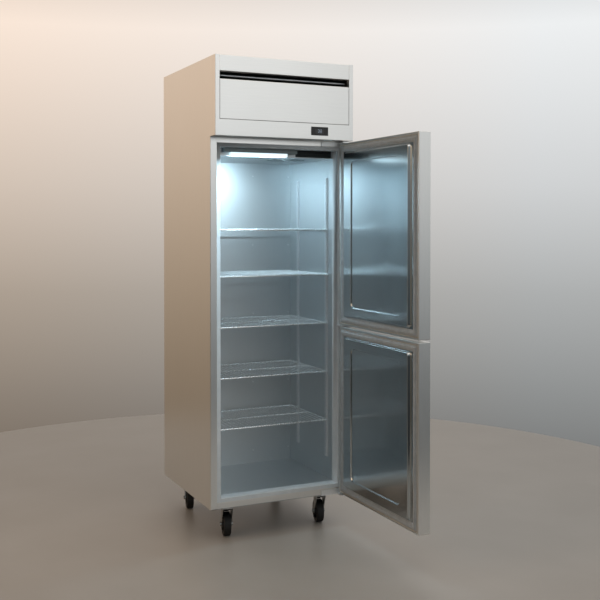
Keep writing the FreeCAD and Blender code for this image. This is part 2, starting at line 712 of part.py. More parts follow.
def line_route(points):
    """A copper line: straight runs joined by bends of one radius."""
    bend = 20.0               # bend radius
    pts = [Vector(*p) for p in points]
    edges, at = [], pts[0]
    for before, corner, after in zip(pts, pts[1:], pts[2:]):
        to_corner = (corner - before).normalize()
        away = (after - corner).normalize()
        start, end = corner - to_corner * bend, corner + away * bend
        centre = start + away * bend
        middle = centre + (corner - centre).normalize() * bend
        edges.append(Part.LineSegment(at, start).toShape())
        edges.append(Part.Arc(start, middle, end).toShape())
        at = end
    edges.append(Part.LineSegment(at, pts[-1]).toShape())
    path = Part.Wire(edges)
    first = (pts[1] - pts[0]).normalize()
    circle = Part.Wire(Part.makeCircle(line_radius, pts[0], first))
    return path.makePipeShell([circle], True, True)


# ---------------------------------------------------------------- hinges and doors
def make_hinges():
    """Three brackets on the face frame, with the pins that the doors turn on.

    The upright plates stop short of the arc that the doors' inner corners sweep."""
    near, far = hinge_x - bracket_reach, half_width - sheet
    leg_y = (hinge_y - 12.0, front_y)
    face = (front_y - bracket_plate, front_y)
    leg_x = (hinge_x - 32.0, half_width - 2.0)
    corner = math.hypot(hinge_inset, hinge_depth)
    to_plate = hinge_depth + gasket_gap - bracket_plate
    sweep = math.sqrt(max(corner ** 2 - to_plate ** 2, 0.0)) + bracket_clearance
    clear_x = (near, hinge_x - sweep)

    def rounded(leg):
        outer = [e for e in leg.Edges
                 if abs(e.tangentAt(e.FirstParameter).z) > 0.99 and e.BoundBox.YMax < leg_y[0] + 0.1]
        return leg.makeFillet(10.0, outer)

    top_z = header_bottom - bracket_clearance
    top = union([
        box(clear_x, face, (top_z - bracket_height, top_z)),
        box((near, far), face, (top_z - bracket_leg, top_z)),
        rounded(box(leg_x, leg_y, (top_z - bracket_leg, top_z))),
        rod((hinge_x, hinge_y, upper_door_top - pin_length), (hinge_x, hinge_y, top_z), pin_radius),
    ])
    low_z = lower_door_bottom - bracket_clearance - bracket_leg
    bottom = union([
        box(clear_x, face, (low_z, base_height + heavy_sheet + bracket_height)),
        box((near, far), face, (low_z, low_z + bracket_leg)),
        rounded(box(leg_x, leg_y, (low_z, low_z + bracket_leg))),
        rod((hinge_x, hinge_y, low_z), (hinge_x, hinge_y, lower_door_bottom + pin_length), pin_radius),
    ])
    centre = lower_door_top + door_gap_middle / 2
    middle = union([
        box((opening_half + 2, far), face, (centre - middle_flange / 2, centre + middle_flange / 2)),
        rounded(box(leg_x, leg_y, (centre - middle_leg / 2, centre + middle_leg / 2))),
        rod((hinge_x, hinge_y, lower_door_top - pin_length),
            (hinge_x, hinge_y, upper_door_bottom + pin_length), pin_radius),
    ])
    holes = [countersunk(x, z) for x, z in hinge_screw_places()]
    brackets = [piece.cut(group(holes)) for piece in (top, middle, bottom)]
    save("hinge_brackets", group(brackets))


def countersunk(x, z):
    """A flat-head hinge screw, flush with its bracket's face."""
    face = front_y - bracket_plate
    head = Part.makeCone(2 * screw_radius, screw_radius, screw_radius, Vector(x, face, z), Y)
    shank = rod((x, face, z), (x, front_y + heavy_sheet, z), screw_radius)
    return head.fuse(shank).removeSplitter()


def make_screws():
    screws = [countersunk(x, z) for x, z in hinge_screw_places()]
    plate_low = base_height - caster_plate[2]
    for p in caster_bolt_places():
        shank = rod((p.x, p.y, plate_low), (p.x, p.y, base_height + heavy_sheet), bolt_radius)
        head = hexagon(p, plate_low - 5.0, 5.0, bolt_radius * 1.6)
        screws.append(shank.fuse(head).removeSplitter())
    save("screws", group(screws))


def hexagon(centre, z, height, flat_radius):
    reach = flat_radius / math.cos(math.radians(30))
    points = [(centre.x + reach * math.cos(math.radians(60 * i)),
               centre.y + reach * math.sin(math.radians(60 * i)), z) for i in range(6)]
    return polygon(points).extrude(Z * height)


def opened(shape):
    """Turns a door piece from its closed place to the stored open one."""
    shape = shape.copy()
    shape.rotate(Vector(hinge_x, hinge_y, 0), Z, stored_opening)
    return shape


def make_door(name, low, high, handle_z):
    """Modelled closed, saved open."""
    edge = half_width
    x, z = (-edge, edge), (low, high)
    pins = [rod((hinge_x, hinge_y, low - 1), (hinge_x, hinge_y, low + pin_length), bush_radius),
            rod((hinge_x, hinge_y, high - pin_length), (hinge_x, hinge_y, high + 1), bush_radius)]
    ends = [rod((hinge_x, hinge_y, low + pin_length - 1), (hinge_x, hinge_y, low + pin_length + 3),
                pin_radius + 1),
            rod((hinge_x, hinge_y, high - pin_length - 3), (hinge_x, hinge_y, high - pin_length + 1),
                pin_radius + 1)]
    cup_x = (-edge + handle_edge - handle_width / 2, -edge + handle_edge + handle_width / 2)
    cup_z = (handle_z - handle_height / 2, handle_z + handle_height / 2)
    cup = box(cup_x, (door_outer, door_outer + handle_depth), cup_z)
    cup = rounded_along_y(cup, 12.0)

    shell = box(x, (door_outer, door_inner), z)
    hollow = box((-edge + sheet, edge - sheet), (door_outer + sheet, door_inner - sheet),
                 (low + sheet, high - sheet))
    back = box((-edge + skin_return, edge - skin_return), (door_inner - 2, door_inner + 1),
               (low + skin_return, high - skin_return))
    skin = shell.cut(hollow).cut(back).cut(group(pins)).cut(cup)
    save(name + "_skin", opened(skin))

    dike_x = (-edge + dike_side, edge - dike_side)
    dike_z = (low + dike_end, high - dike_end)
    face = door_inner
    dike = frustum(dike_x, dike_z, face - sheet, face + dike_height, bevel, 14.0)
    core = frustum((dike_x[0] + sheet, dike_x[1] - sheet), (dike_z[0] + sheet, dike_z[1] - sheet),
                   face - sheet, face + dike_height - sheet, bevel, 13.0)
    well_x = (dike_x[0] + recess_margin_side, dike_x[1] - recess_margin_side)
    well_z = (dike_z[0] + recess_margin_end, dike_z[1] - recess_margin_end)
    well = frustum(well_x, well_z, face + dike_height + 0.01, face + dike_height - recess_depth, bevel, 22.0)
    under = frustum((well_x[0] - sheet, well_x[1] + sheet), (well_z[0] - sheet, well_z[1] + sheet),
                    face + dike_height, face + dike_height - recess_depth - sheet, bevel, 23.0)
    plate = box((-edge + skin_return, edge - skin_return), (face - sheet, face),
                (low + skin_return, high - skin_return))
    liner = plate.fuse(dike).cut(core.cut(under)).cut(well).removeSplitter()
    save(name + "_liner", opened(liner))

    foam = hollow.fuse(core.cut(under)).cut(cup).cut(group(pins)).cut(group(ends)).removeSplitter()
    save(name + "_foam", opened(foam))

    gasket_y = (door_inner, front_y - gasket_clearance)
    gasket = ring((-edge + gasket_inset, edge - gasket_inset),
                  (low + gasket_inset, high - gasket_inset), gasket_y, gasket_width)
    lips = [e for e in gasket.Edges if e.BoundBox.YMin > gasket_y[1] - 0.1]
    save(name + "_gasket", opened(gasket.makeFillet(1.6, lips)))

    wall = 2.0
    bowl = rounded_along_y(
        box((cup_x[0] + wall, cup_x[1] - wall), (door_outer - 5, door_outer + handle_depth - wall),
            (cup_z[0] + wall, cup_z[1] - wall)), 10.0)
    rim = rounded_along_y(
        box((cup_x[0] - 7, cup_x[1] + 7), (door_outer - 1.5, door_outer),
            (cup_z[0] - 7, cup_z[1] + 7)), 17.0)
    lip = box((cup_x[1] - wall - 20, cup_x[1] - wall + 0.5), (door_outer - 1.5, door_outer + 1.5),
              (cup_z[0] + wall + 4, cup_z[1] - wall - 4))
    save(name + "_handle", opened(union([cup.fuse(rim).cut(bowl), lip])))

    bores = [rod((hinge_x, hinge_y, low - 2), (hinge_x, hinge_y, low + pin_length + 2),
                 pin_radius + running_clearance),
             rod((hinge_x, hinge_y, high - pin_length - 2), (hinge_x, hinge_y, high + 2),
                 pin_radius + running_clearance)]
    sleeves = [rod((hinge_x, hinge_y, low), (hinge_x, hinge_y, low + pin_length), bush_radius),
               rod((hinge_x, hinge_y, high - pin_length), (hinge_x, hinge_y, high), bush_radius)]
    bushes = [sleeve.cut(bore) for sleeve, bore in zip(sleeves, bores)]
    save(name + "_bushes", opened(group(bushes)))


def rounded_along_y(block, radius):
    edges = [e for e in block.Edges if abs(e.tangentAt(e.FirstParameter).y) > 0.99]
    return block.makeFillet(radius, edges)


# ---------------------------------------------------------------- casters
def place(shape, centre, angle):
    shape = shape.copy()
    shape.rotate(Vector(), Z, angle)
    shape.translate(Vector(centre.x, centre.y, 0))
    return shape


def fork_leg(x):
    """A tapered side plate from the swivel head down to the axle."""
    axle = (caster_trail, wheel_radius)
    end = 11.0
    top_half = 26.0
    points = [(-top_half, fork_top), (top_half, fork_top),
              (axle[0] + end, axle[1] + 2), (axle[0] - end, axle[1] - 2)]
    plate = polygon([(x, y, z) for y, z in points]).extrude(X * (fork_sheet - 1))
    foot = rod((x, axle[0], axle[1]), (x + fork_sheet - 1, axle[0], axle[1]), end)
    return plate.fuse(foot)


def make_casters():
    plates = []
    web = (fork_top - fork_sheet, fork_top)
    inner = hub_width / 2 + leg_gap
    outer = inner + fork_sheet - 1
    for name, (centre, angle) in caster_centres().items():
        length, width, thick = caster_plate
        top = base_height - thick
        plate = box((-length / 2, length / 2), (-width / 2, width / 2), (top, base_height))
        upright = [e for e in plate.Edges if abs(e.tangentAt(e.FirstParameter).z) > 0.99]
        plate = plate.makeFillet(8.0, upright)
        holes = [rod((sx * bolt_spacing[0] / 2, sy * bolt_spacing[1] / 2, top - 1),
                     (sx * bolt_spacing[0] / 2, sy * bolt_spacing[1] / 2, base_height + 1), bolt_radius)
                 for sx in (-1, 1) for sy in (-1, 1)]
        race = Part.makeCone(20.0, 27.0, race_height, Vector(0, 0, fork_top + race_gap), Z)
        kingpin = rod((0, 0, web[0] - race_gap - 4), (0, 0, base_height), kingpin_radius)
        rivet = rod((0, 0, web[0] - race_gap - 4), (0, 0, web[0] - race_gap), kingpin_radius + 4)
        fixed = union([plate, race, kingpin, rivet]).cut(group(holes))
        fixed.translate(Vector(centre.x, centre.y, 0))
        plates.append(fixed)

        head = box((-outer, outer), (-26, 26), web)
        bore = rod((0, 0, web[0] - 1), (0, 0, web[1] + 1), kingpin_radius + running_clearance)
        legs = [fork_leg(inner), fork_leg(-outer)]
        axle_hole = rod((-outer - 1, caster_trail, wheel_radius), (outer + 1, caster_trail, wheel_radius),
                        axle_radius)
        fork = union([head] + legs).cut(bore).cut(axle_hole)
        braked = name in ("fl", "fr")
        if braked:
            fork = fork.cut(rod((-outer - 1, *lever_pivot), (outer + 1, *lever_pivot),
                                lever_pin + running_clearance))
        axle = union([
            rod((-outer - 2, caster_trail, wheel_radius), (outer + 2, caster_trail, wheel_radius),
                axle_radius),
            rod((-outer - 6, caster_trail, wheel_radius), (-outer, caster_trail, wheel_radius), 8.5),
            rod((outer, caster_trail, wheel_radius), (outer + 6, caster_trail, wheel_radius), 8.5),
        ])
        save("caster_%s_fork" % name, place(group([fork, axle]), centre, angle))

        save("caster_%s_wheel" % name, place(wheel(), centre, angle))
        if braked:
            save("caster_%s_brake" % name, place(brake_lever(inner, outer), centre, angle))
    save("caster_plates", group(plates))


def wheel():
    half, hub = wheel_width / 2, hub_width / 2
    shoulder = 7.0
    bore = axle_radius + running_clearance
    profile = [(hub, bore), (hub, 13), (half - 5, 17), (half - 5, 32), (half, 37),
               (half, wheel_radius - shoulder)]
    outline = [Vector(x, r, 0) for x, r in profile]
    mirrored = [Vector(-p.x, p.y, 0) for p in reversed(outline)]
    crown = Part.Arc(outline[-1], Vector(0, wheel_radius, 0), mirrored[0]).toShape()
    right = [Part.LineSegment(a, b).toShape() for a, b in zip(outline, outline[1:])]
    left = [Part.LineSegment(a, b).toShape() for a, b in zip(mirrored, mirrored[1:])]
    close = Part.LineSegment(mirrored[-1], outline[0]).toShape()
    face = Part.Face(Part.Wire(right + [crown] + left + [close]))
    tyre = turned(face, Vector(), X)
    tyre.translate(Vector(0, caster_trail, wheel_radius))
    return tyre


def brake_lever(inner, outer):
    """A pedal on a cross pin between the fork's legs, with a pad just above the tread."""
    y, z = lever_pivot
    half = inner - 1.0
    tongue_low = z - 8.0
    sleeve = rod((-half, y, z), (half, y, z), 6.0)
    pin = rod((-outer, y, z), (outer, y, z), lever_pin)
    tongue = box((-half, half), (y, y + 58), (tongue_low, tongue_low + 4))
    pad = box((-10, 10), (caster_trail + 2, caster_trail + 12), (2 * wheel_radius + 2.6, tongue_low + 1))
    tread = box((-half - 4, half + 4), (y + 44, y + 62), (tongue_low, tongue_low + 5))
    return union([sleeve, pin, tongue, pad, tread])


# ---------------------------------------------------------------- build
os.makedirs("parts", exist_ok=True)
make_box()
make_breakers()
make_pilasters()
make_clips()
make_shelves()
make_duct_panels()
motor = make_evaporator()
make_lamp()
make_header()
make_condensing_unit(motor)
make_hinges()
make_screws()
make_door("upper_door", upper_door_bottom, upper_door_top, upper_door_bottom + handle_from_gap)
make_door("lower_door", lower_door_bottom, lower_door_top, lower_door_top - handle_from_gap)
make_casters()
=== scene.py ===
import json
import math

import bmesh
import bpy
from mathutils import Matrix, Vector

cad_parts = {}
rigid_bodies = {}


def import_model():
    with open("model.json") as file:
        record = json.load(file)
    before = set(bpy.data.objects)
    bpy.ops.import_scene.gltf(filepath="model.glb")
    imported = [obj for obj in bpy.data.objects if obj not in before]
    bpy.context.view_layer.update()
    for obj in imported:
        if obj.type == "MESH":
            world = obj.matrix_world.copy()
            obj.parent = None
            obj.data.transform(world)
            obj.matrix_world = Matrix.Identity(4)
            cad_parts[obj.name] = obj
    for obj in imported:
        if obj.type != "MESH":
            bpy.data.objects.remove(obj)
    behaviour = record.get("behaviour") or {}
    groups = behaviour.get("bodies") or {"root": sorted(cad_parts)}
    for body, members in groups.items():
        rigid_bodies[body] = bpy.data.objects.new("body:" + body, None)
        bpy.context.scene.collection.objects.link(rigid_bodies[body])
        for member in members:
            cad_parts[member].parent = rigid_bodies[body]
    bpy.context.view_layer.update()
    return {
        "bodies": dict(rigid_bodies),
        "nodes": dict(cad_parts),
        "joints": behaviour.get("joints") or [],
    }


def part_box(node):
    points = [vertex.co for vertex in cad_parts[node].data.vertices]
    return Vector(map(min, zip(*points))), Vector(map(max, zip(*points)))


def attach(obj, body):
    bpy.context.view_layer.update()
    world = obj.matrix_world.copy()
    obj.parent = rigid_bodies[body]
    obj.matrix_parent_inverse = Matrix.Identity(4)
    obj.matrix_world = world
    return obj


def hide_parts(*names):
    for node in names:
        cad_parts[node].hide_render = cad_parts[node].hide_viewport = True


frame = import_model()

X, Y, Z = Vector((1, 0, 0)), Vector((0, 1, 0)), Vector((0, 0, 1))
MM = 0.001

# Camera: it stands to the left of the open cabinet at chest height, almost
# level, and the frame is shifted down so that the upright edges stay nearly upright.
bpy.context.scene.view_settings.view_transform = "Standard"
camera_data = bpy.data.cameras.new("camera")
camera_data.lens = 56.81
camera_data.shift_y = -0.1045
tilt_degrees, turn_degrees = 89.19, -25.5
camera = bpy.data.objects.new("camera", camera_data)
camera.location = (-1.6637, -3.9953, 1.3304)
camera.rotation_euler = (math.radians(tilt_degrees), 0, math.radians(turn_degrees))
bpy.context.scene.collection.objects.link(camera)
bpy.context.scene.camera = camera


# Studio: a round pale floor of sealed concrete, under a soft room of warm walls
# on the left, cooler ones on the right, and a dim ceiling over a bright band.
def linear(hex_code):
    """An sRGB hex colour as linear RGBA."""
    channels = [int(hex_code[i:i + 2], 16) / 255 for i in (1, 3, 5)]
    values = [c / 12.92 if c <= 0.04045 else ((c + 0.055) / 1.055) ** 2.4 for c in channels]
    return (*values, 1.0)


def add(tree, kind, inputs=None, **settings):
    """Adds a shader node. Inputs are values, or the sockets that feed them."""
    node = tree.nodes.new("ShaderNode" + kind)
    for name, value in settings.items():
        setattr(node, name, value)
    for name, value in (inputs or {}).items():
        if isinstance(value, bpy.types.NodeSocket):
            tree.links.new(value, node.inputs[name])
        else:
            node.inputs[name].default_value = value
    return node


def ramp(tree, factor, stops):
    """A colour ramp through (place, colour) stops."""
    node = add(tree, "ValToRGB", {"Fac": factor})
    elements = node.color_ramp.elements
    while len(elements) < len(stops):
        elements.new(0.5)
    for element, (place, colour) in zip(elements, stops):
        element.position = place
        element.color = colour
    return node.outputs["Color"]


def finish(name, colour, roughness, metallic=0.0, **sockets):
    """A material on one Principled shader, with its constants on the shader's own sockets."""
    material = bpy.data.materials.new(name)
    material.use_nodes = True
    tree = material.node_tree
    shader = tree.nodes["Principled BSDF"]
    shader.inputs["Base Color"].default_value = linear(colour)
    shader.inputs["Roughness"].default_value = roughness
    shader.inputs["Metallic"].default_value = metallic
    for socket, value in sockets.items():
        shader.inputs[socket.replace("_", " ")].default_value = value
    return material, tree, shader


def grown(tree, size, kind="TexNoise", stretch=(1, 1, 1), **inputs):
    """A pattern on Object coordinates whose features are about size metres, longer along stretch."""
    place = add(tree, "TexCoord").outputs["Object"]
    scale = [1 / (size * s) for s in stretch]
    mapped = add(tree, "Mapping", {"Vector": place, "Scale": scale}).outputs["Vector"]
    return add(tree, kind, {"Vector": mapped, "Scale": 1.0, **inputs})


def spread(tree, value, low, high):
    """A 0 to 1 pattern carried to a range."""
    node = add(tree, "MapRange", {"Value": value, "To Min": low, "To Max": high})
    return node.outputs["Result"]


def emboss(tree, shader, height, depth):
    """Relief of that depth in metres."""
    bump = add(tree, "Bump", {"Height": height, "Distance": depth, "Strength": 1.0})
    tree.links.new(bump.outputs["Normal"], shader.inputs["Normal"])


def sealed_concrete():
    """Power-floated concrete under a satin sealer: faint clouding, soft reflections."""
    material, tree, shader = finish("sealed_concrete_floor", "#A6A098", 0.42)
    cloud = grown(tree, 0.45, Detail=4.0).outputs["Fac"]
    tree.links.new(ramp(tree, cloud, [(0.3, linear("#A19B93")), (0.7, linear("#AAA59E"))]),
                   shader.inputs["Base Color"])
    tree.links.new(spread(tree, cloud, 0.36, 0.48), shader.inputs["Roughness"])
    return material


floor_radius = 2.4
bm = bmesh.new()
bmesh.ops.create_circle(bm, cap_ends=True, segments=96, radius=floor_radius)
floor_mesh = bpy.data.meshes.new("studio_floor")
bm.to_mesh(floor_mesh)
bm.free()
floor = bpy.data.objects.new("studio_floor", floor_mesh)
floor_mesh.materials.append(sealed_concrete())
bpy.context.scene.collection.objects.link(floor)

world = bpy.data.worlds.new("soft_room")
bpy.context.scene.world = world
world.use_nodes = True
sky = world.node_tree
toward = add(sky, "SeparateXYZ", {"Vector": add(sky, "TexCoord").outputs["Generated"]})
rise = add(sky, "MapRange", {"Value": toward.outputs["Z"], "From Min": -0.5, "From Max": 0.5})


def walls(*stops):
    """A wall's colour from below the floor line to the ceiling, through (rise, hex colour) stops."""
    return ramp(sky, rise.outputs["Result"], [(place, linear(colour)) for place, colour in stops])


warm_walls = walls((0.24, "#6E5E4C"), (0.33, "#8B7A68"), (0.43, "#AB9782"), (0.54, "#D3BCA6"),
                   (0.70, "#FFE3CB"), (0.84, "#B8A695"))
cool_walls = walls((0.24, "#6F706F"), (0.33, "#8F9191"), (0.43, "#ADAFAF"), (0.54, "#D0D2D3"),
                   (0.70, "#EEF0F1"), (0.84, "#A9ABAC"))
front_walls = walls((0.30, "#3A3C3D"), (0.42, "#62676A"), (0.47, "#9CA2A6"), (0.53, "#F2F5F7"),
                    (0.70, "#FFFFFF"), (0.84, "#A9ABAC"))
unlit_walls = walls((0.30, "#26282A"), (0.45, "#3E4649"), (0.60, "#70797D"), (0.84, "#8A8F92"))
crosswise = add(sky, "Math", {0: toward.outputs["X"], 1: 0.8}, operation="MULTIPLY")
lengthwise = add(sky, "Math", {0: toward.outputs["Y"], 1: -0.6, 2: crosswise.outputs[0]},
                 operation="MULTIPLY_ADD")
right_hand = add(sky, "MapRange", {"Value": lengthwise.outputs[0], "From Min": -0.7, "From Max": 0.05})
forward = add(sky, "MapRange", {"Value": toward.outputs["Y"], "From Min": 0.1, "From Max": -0.5})
behind = add(sky, "Mix", {"Factor": right_hand.outputs["Result"], "A": warm_walls, "B": cool_walls},
             data_type="RGBA")
leftward = add(sky, "MapRange", {"Value": toward.outputs["X"], "From Min": 0.15, "From Max": -0.3})
in_front = add(sky, "Mix", {"Factor": leftward.outputs["Result"], "A": front_walls, "B": unlit_walls},
               data_type="RGBA")
room = add(sky, "Mix", {"Factor": forward.outputs["Result"], "A": behind.outputs["Result"],
                        "B": in_front.outputs["Result"]}, data_type="RGBA")
background = sky.nodes["Background"]
sky.links.new(room.outputs["Result"], background.inputs["Color"])
background.inputs["Strength"].default_value = 1.0


def soft_light(name, place, toward_point, size, watts, colour):
    """A rectangular area light at a place, facing a point."""
    data = bpy.data.lights.new(name, "AREA")
    data.shape = "RECTANGLE"
    data.size, data.size_y = size
    data.energy = watts
    data.color = linear(colour)[:3]
    lamp = bpy.data.objects.new(name, data)
    lamp.location = place
    lamp.rotation_euler = (Vector(toward_point) - Vector(place)).to_track_quat("-Z", "Y").to_euler()
    bpy.context.scene.collection.objects.link(lamp)
    return lamp


body_low, body_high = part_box("side_panel_left")[0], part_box("side_panel_right")[1]
body_middle = (body_low + body_high) / 2
header_middle = sum(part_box("header_frame"), Vector()) / 2
soft_light("ceiling_softbox", (0.4, -1.6, 3.6), body_middle, (3.0, 2.4), 26, "#FFF6EC")
soft_light("rear_softbox", (2.2, 3.0, 3.4), body_middle, (2.4, 2.0), 14, "#FFF8F0")
soft_light("left_softbox", (-3.6, -0.6, 2.4), (-1.2, 0.2, 0.0), (2.0, 1.6), 16, "#FFD3A6")
soft_light("front_softbox", (1.3, -5.2, 2.6), header_middle, (2.2, 2.2), 5, "#FBFDFF")

# Insulated box: the side sheets are #4 brushed stainless, folded round the front
# edge to make the stiles, with two rails let in between them above and below.
sheet = 1.0 * MM
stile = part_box("breaker_strips")[0].x - body_low.x


def brushed_stainless(name, colour="#E2E2DF", roughness=0.30, grain=(1, 1, 60), line=1.6 * MM,
                      depth=0.006 * MM, streak=0.04):
    """#4 stainless: fine parallel scratches from a belt, a touch of haze and a soft wide sheen.

    Real scratches are a tenth of a millimetre apart; they are drawn wider so that they show."""
    material, tree, shader = finish(name, colour, roughness, metallic=1.0)
    scratch = grown(tree, line, stretch=grain, Detail=3.0, Roughness=0.6).outputs["Fac"]
    haze = grown(tree, 0.30, Detail=2.0).outputs["Fac"]
    rough = add(tree, "Math", {0: spread(tree, scratch, -streak, streak),
                               1: spread(tree, haze, -0.02, 0.02)}, operation="ADD")
    rough = add(tree, "Math", {0: rough.outputs[0], 1: roughness}, operation="ADD")
    tree.links.new(rough.outputs[0], shader.inputs["Roughness"])
    base = linear(colour)
    dark = tuple(c * (1 - streak) for c in base[:3]) + (1.0,)
    tree.links.new(ramp(tree, scratch, [(0.35, dark), (0.65, base)]), shader.inputs["Base Color"])
    if depth:
        emboss(tree, shader, scratch, depth)
    return material


outer_steel = brushed_stainless("brushed_stainless_upright")
across_steel = brushed_stainless("brushed_stainless_level", grain=(60, 1, 1))


def shade_by_angle(mesh, degrees):
    """Smooth shading, with edges sharper than the angle left crisp."""
    for polygon in mesh.polygons:
        polygon.use_smooth = True
    mesh.set_sharp_from_angle(angle=math.radians(degrees))


def piece(name, bm, material, body, nodes=(), smooth=35):
    """Makes a bmesh a finished piece that rides on a body and stands for its CAD nodes."""
    mesh = bpy.data.meshes.new(name)
    bm.to_mesh(mesh)
    bm.free()
    mesh.materials.append(material)
    shade_by_angle(mesh, smooth)
    made = bpy.data.objects.new(name, mesh)
    bpy.context.scene.collection.objects.link(made)
    flats = made.modifiers.new("flats_stay_flat", "WEIGHTED_NORMAL")
    flats.keep_sharp = True
    flats.weight = 100
    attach(made, body)
    if nodes:
        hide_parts(*nodes)
    return made


def sheet_of(bm, thickness, outward):
    """Turns an open folded surface so that its largest face looks outward, and gives it its gauge."""
    bmesh.ops.recalc_face_normals(bm, faces=bm.faces)
    bm.normal_update()
    largest = max(bm.faces, key=lambda f: f.calc_area() * abs(f.normal.dot(outward)))
    if largest.normal.dot(outward) < 0:
        bmesh.ops.reverse_faces(bm, faces=bm.faces)
        bm.normal_update()
    bmesh.ops.solidify(bm, geom=bm.faces[:], thickness=thickness)
    bmesh.ops.recalc_face_normals(bm, faces=bm.faces)


def bend(bm, edges, radius, segments=4):
    """Rounds edges to a radius."""
    bmesh.ops.bevel(bm, geom=list(edges), offset=radius, segments=segments, profile=0.5,
                    affect="EDGES", material=-1, clamp_overlap=True)


def folded(profile, along, reach, radius):
    """A line of corner points drawn along an axis, with each corner bent to a radius."""
    bm = bmesh.new()
    verts = [bm.verts.new(p) for p in profile]
    edges = [bm.edges.new(pair) for pair in zip(verts, verts[1:])]
    swept = bmesh.ops.extrude_edge_only(bm, edges=edges)
    moved = [g for g in swept["geom"] if isinstance(g, bmesh.types.BMVert)]
    bmesh.ops.translate(bm, verts=moved, vec=along * reach)
    folds = [e for e in bm.edges if len(e.link_faces) == 2]
    bend(bm, folds, radius)
    return bm


fold_radius = 2.5 * MM
height = body_high.z - body_low.z
rear_flange = 14 * MM
for side_name, sign in (("left", -1), ("right", 1)):
    outer_x = sign * body_high.x
    inner_x = outer_x - sign * stile
    rear_x = outer_x - sign * rear_flange
    profile = [(inner_x, body_low.y, body_low.z), (outer_x, body_low.y, body_low.z),
               (outer_x, body_high.y, body_low.z), (rear_x, body_high.y, body_low.z)]
    bm = folded(profile, Z, height, fold_radius)
    sheet_of(bm, sheet, X * sign)
    piece(f"side_wrap_{side_name}", bm, outer_steel, "cabinet",
          [f"side_panel_{side_name}"])


def slab(low, high, edge=0.0):
    """A block between two corners, with its edges eased."""
    bm = bmesh.new()
    low, high = Vector(low), Vector(high)
    bmesh.ops.create_cube(bm, size=1.0)
    bmesh.ops.scale(bm, vec=high - low, verts=bm.verts)
    bmesh.ops.translate(bm, vec=(low + high) / 2, verts=bm.verts)
    if edge:
        bend(bm, bm.edges, edge, 2)
    return bm


def joined(meshes):
    """Several bmeshes as one."""
    whole = bmesh.new()
    for part in meshes:
        temporary = bpy.data.meshes.new("part")
        part.to_mesh(temporary)
        part.free()
        whole.from_mesh(temporary)
        bpy.data.meshes.remove(temporary)
    return whole


frame_low, frame_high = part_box("face_frame")
strips_low, strips_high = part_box("breaker_strips")
rail_half = body_high.x - stile - 0.3 * MM
rail_back = frame_low.y + 2.0 * MM
rails = [slab((-rail_half, frame_low.y, bottom), (rail_half, rail_back, top), 0.5 * MM)
         for bottom, top in ((frame_low.z, strips_low.z), (strips_high.z, frame_high.z))]
piece("face_rails", joined(rails), across_steel, "cabinet", ["face_frame"])


# Rear, base and deck: galvanised sheet that nobody sees in use. Hot dip zinc
# freezes in flat grey crystals a centimetre across, each with its own sheen.
def galvanised():
    material, tree, shader = finish("galvanised_sheet", "#A9ADAE", 0.42, metallic=1.0)
    crystal = grown(tree, 11 * MM, "TexVoronoi").outputs["Color"]
    tone = add(tree, "RGBToBW", {"Color": crystal}).outputs["Val"]
    tree.links.new(ramp(tree, tone, [(0.2, linear("#9CA1A3")), (0.8, linear("#B7BABA"))]),
                   shader.inputs["Base Color"])
    tree.links.new(spread(tree, tone, 0.34, 0.52), shader.inputs["Roughness"])
    return material


zinc_sheet = galvanised()


def dress(material, *names):
    """Gives CAD nodes whose shape is right their finish."""
    for name in names:
        slots = frame["nodes"][name].data.materials
        slots.clear()
        slots.append(material)


dress(zinc_sheet, "rear_panel", "base_panel", "compartment_deck")


def eased(name, node, material, body, smooth=35, edge=0.0, segments=2):
    """A copy of a CAD node with its triangles merged, flats joined and sharp edges eased."""
    bm = bmesh.new()
    bm.from_mesh(frame["nodes"][node].data)
    bmesh.ops.remove_doubles(bm, verts=bm.verts, dist=0.002 * MM)
    bmesh.ops.dissolve_limit(bm, angle_limit=math.radians(1), verts=bm.verts, edges=bm.edges)
    if edge:
        sharp = [e for e in bm.edges
                 if len(e.link_faces) == 2 and e.calc_face_angle(0) > math.radians(50)]
        bend(bm, sharp, edge, segments)
    return piece(name, bm, material, body, [node], smooth)


# Foam: the walls and doors are filled with poured polyurethane, a cream closed
# cell foam with a fine pitted skin, seen only where a skin is taken off.
def poured_foam():
    material, tree, shader = finish("poured_polyurethane_foam", "#E3CF9B", 0.85)
    cells = grown(tree, 1.2 * MM, "TexVoronoi").outputs["Distance"]
    cloud = grown(tree, 0.06, Detail=3.0).outputs["Fac"]
    tree.links.new(ramp(tree, cloud, [(0.3, linear("#D9C38C")), (0.7, linear("#EBDAAB"))]),
                   shader.inputs["Base Color"])
    emboss(tree, shader, cells, 0.3 * MM)
    return material


dress(poured_foam(), "foam_insulation", "upper_door_foam", "lower_door_foam")


# Liner: bright satin stainless sheet, finer than the outside, that carries the
# lamp's light down the walls. The two duct sheets stand in front of the rear wall.
liner_steel = brushed_stainless("satin_stainless_liner", "#D5DADC", 0.44, (1, 1, 40), 6 * MM,
                                0, 0.012)
dress(liner_steel, "liner_shell", "rear_duct_panels")
eased("evaporator_shroud", "evaporator_cover", liner_steel, "cabinet", 30)


# Breaker strips: white PVC extrusions with a bullnose that keep the cold liner
# off the outer frame, mitred at the corners and clipped in.
def white_vinyl():
    material, tree, shader = finish("semi_gloss_white_pvc", "#D6DCDF", 0.32, IOR=1.53)
    cloud = grown(tree, 0.05, Detail=2.0).outputs["Fac"]
    tree.links.new(spread(tree, cloud, 0.27, 0.38), shader.inputs["Roughness"])
    tree.links.new(ramp(tree, cloud, [(0.3, linear("#D0D7DA")), (0.7, linear("#DCE1E3"))]),
                   shader.inputs["Base Color"])
    return material


eased("breaker_trim", "breaker_strips", white_vinyl(), "cabinet", 50)

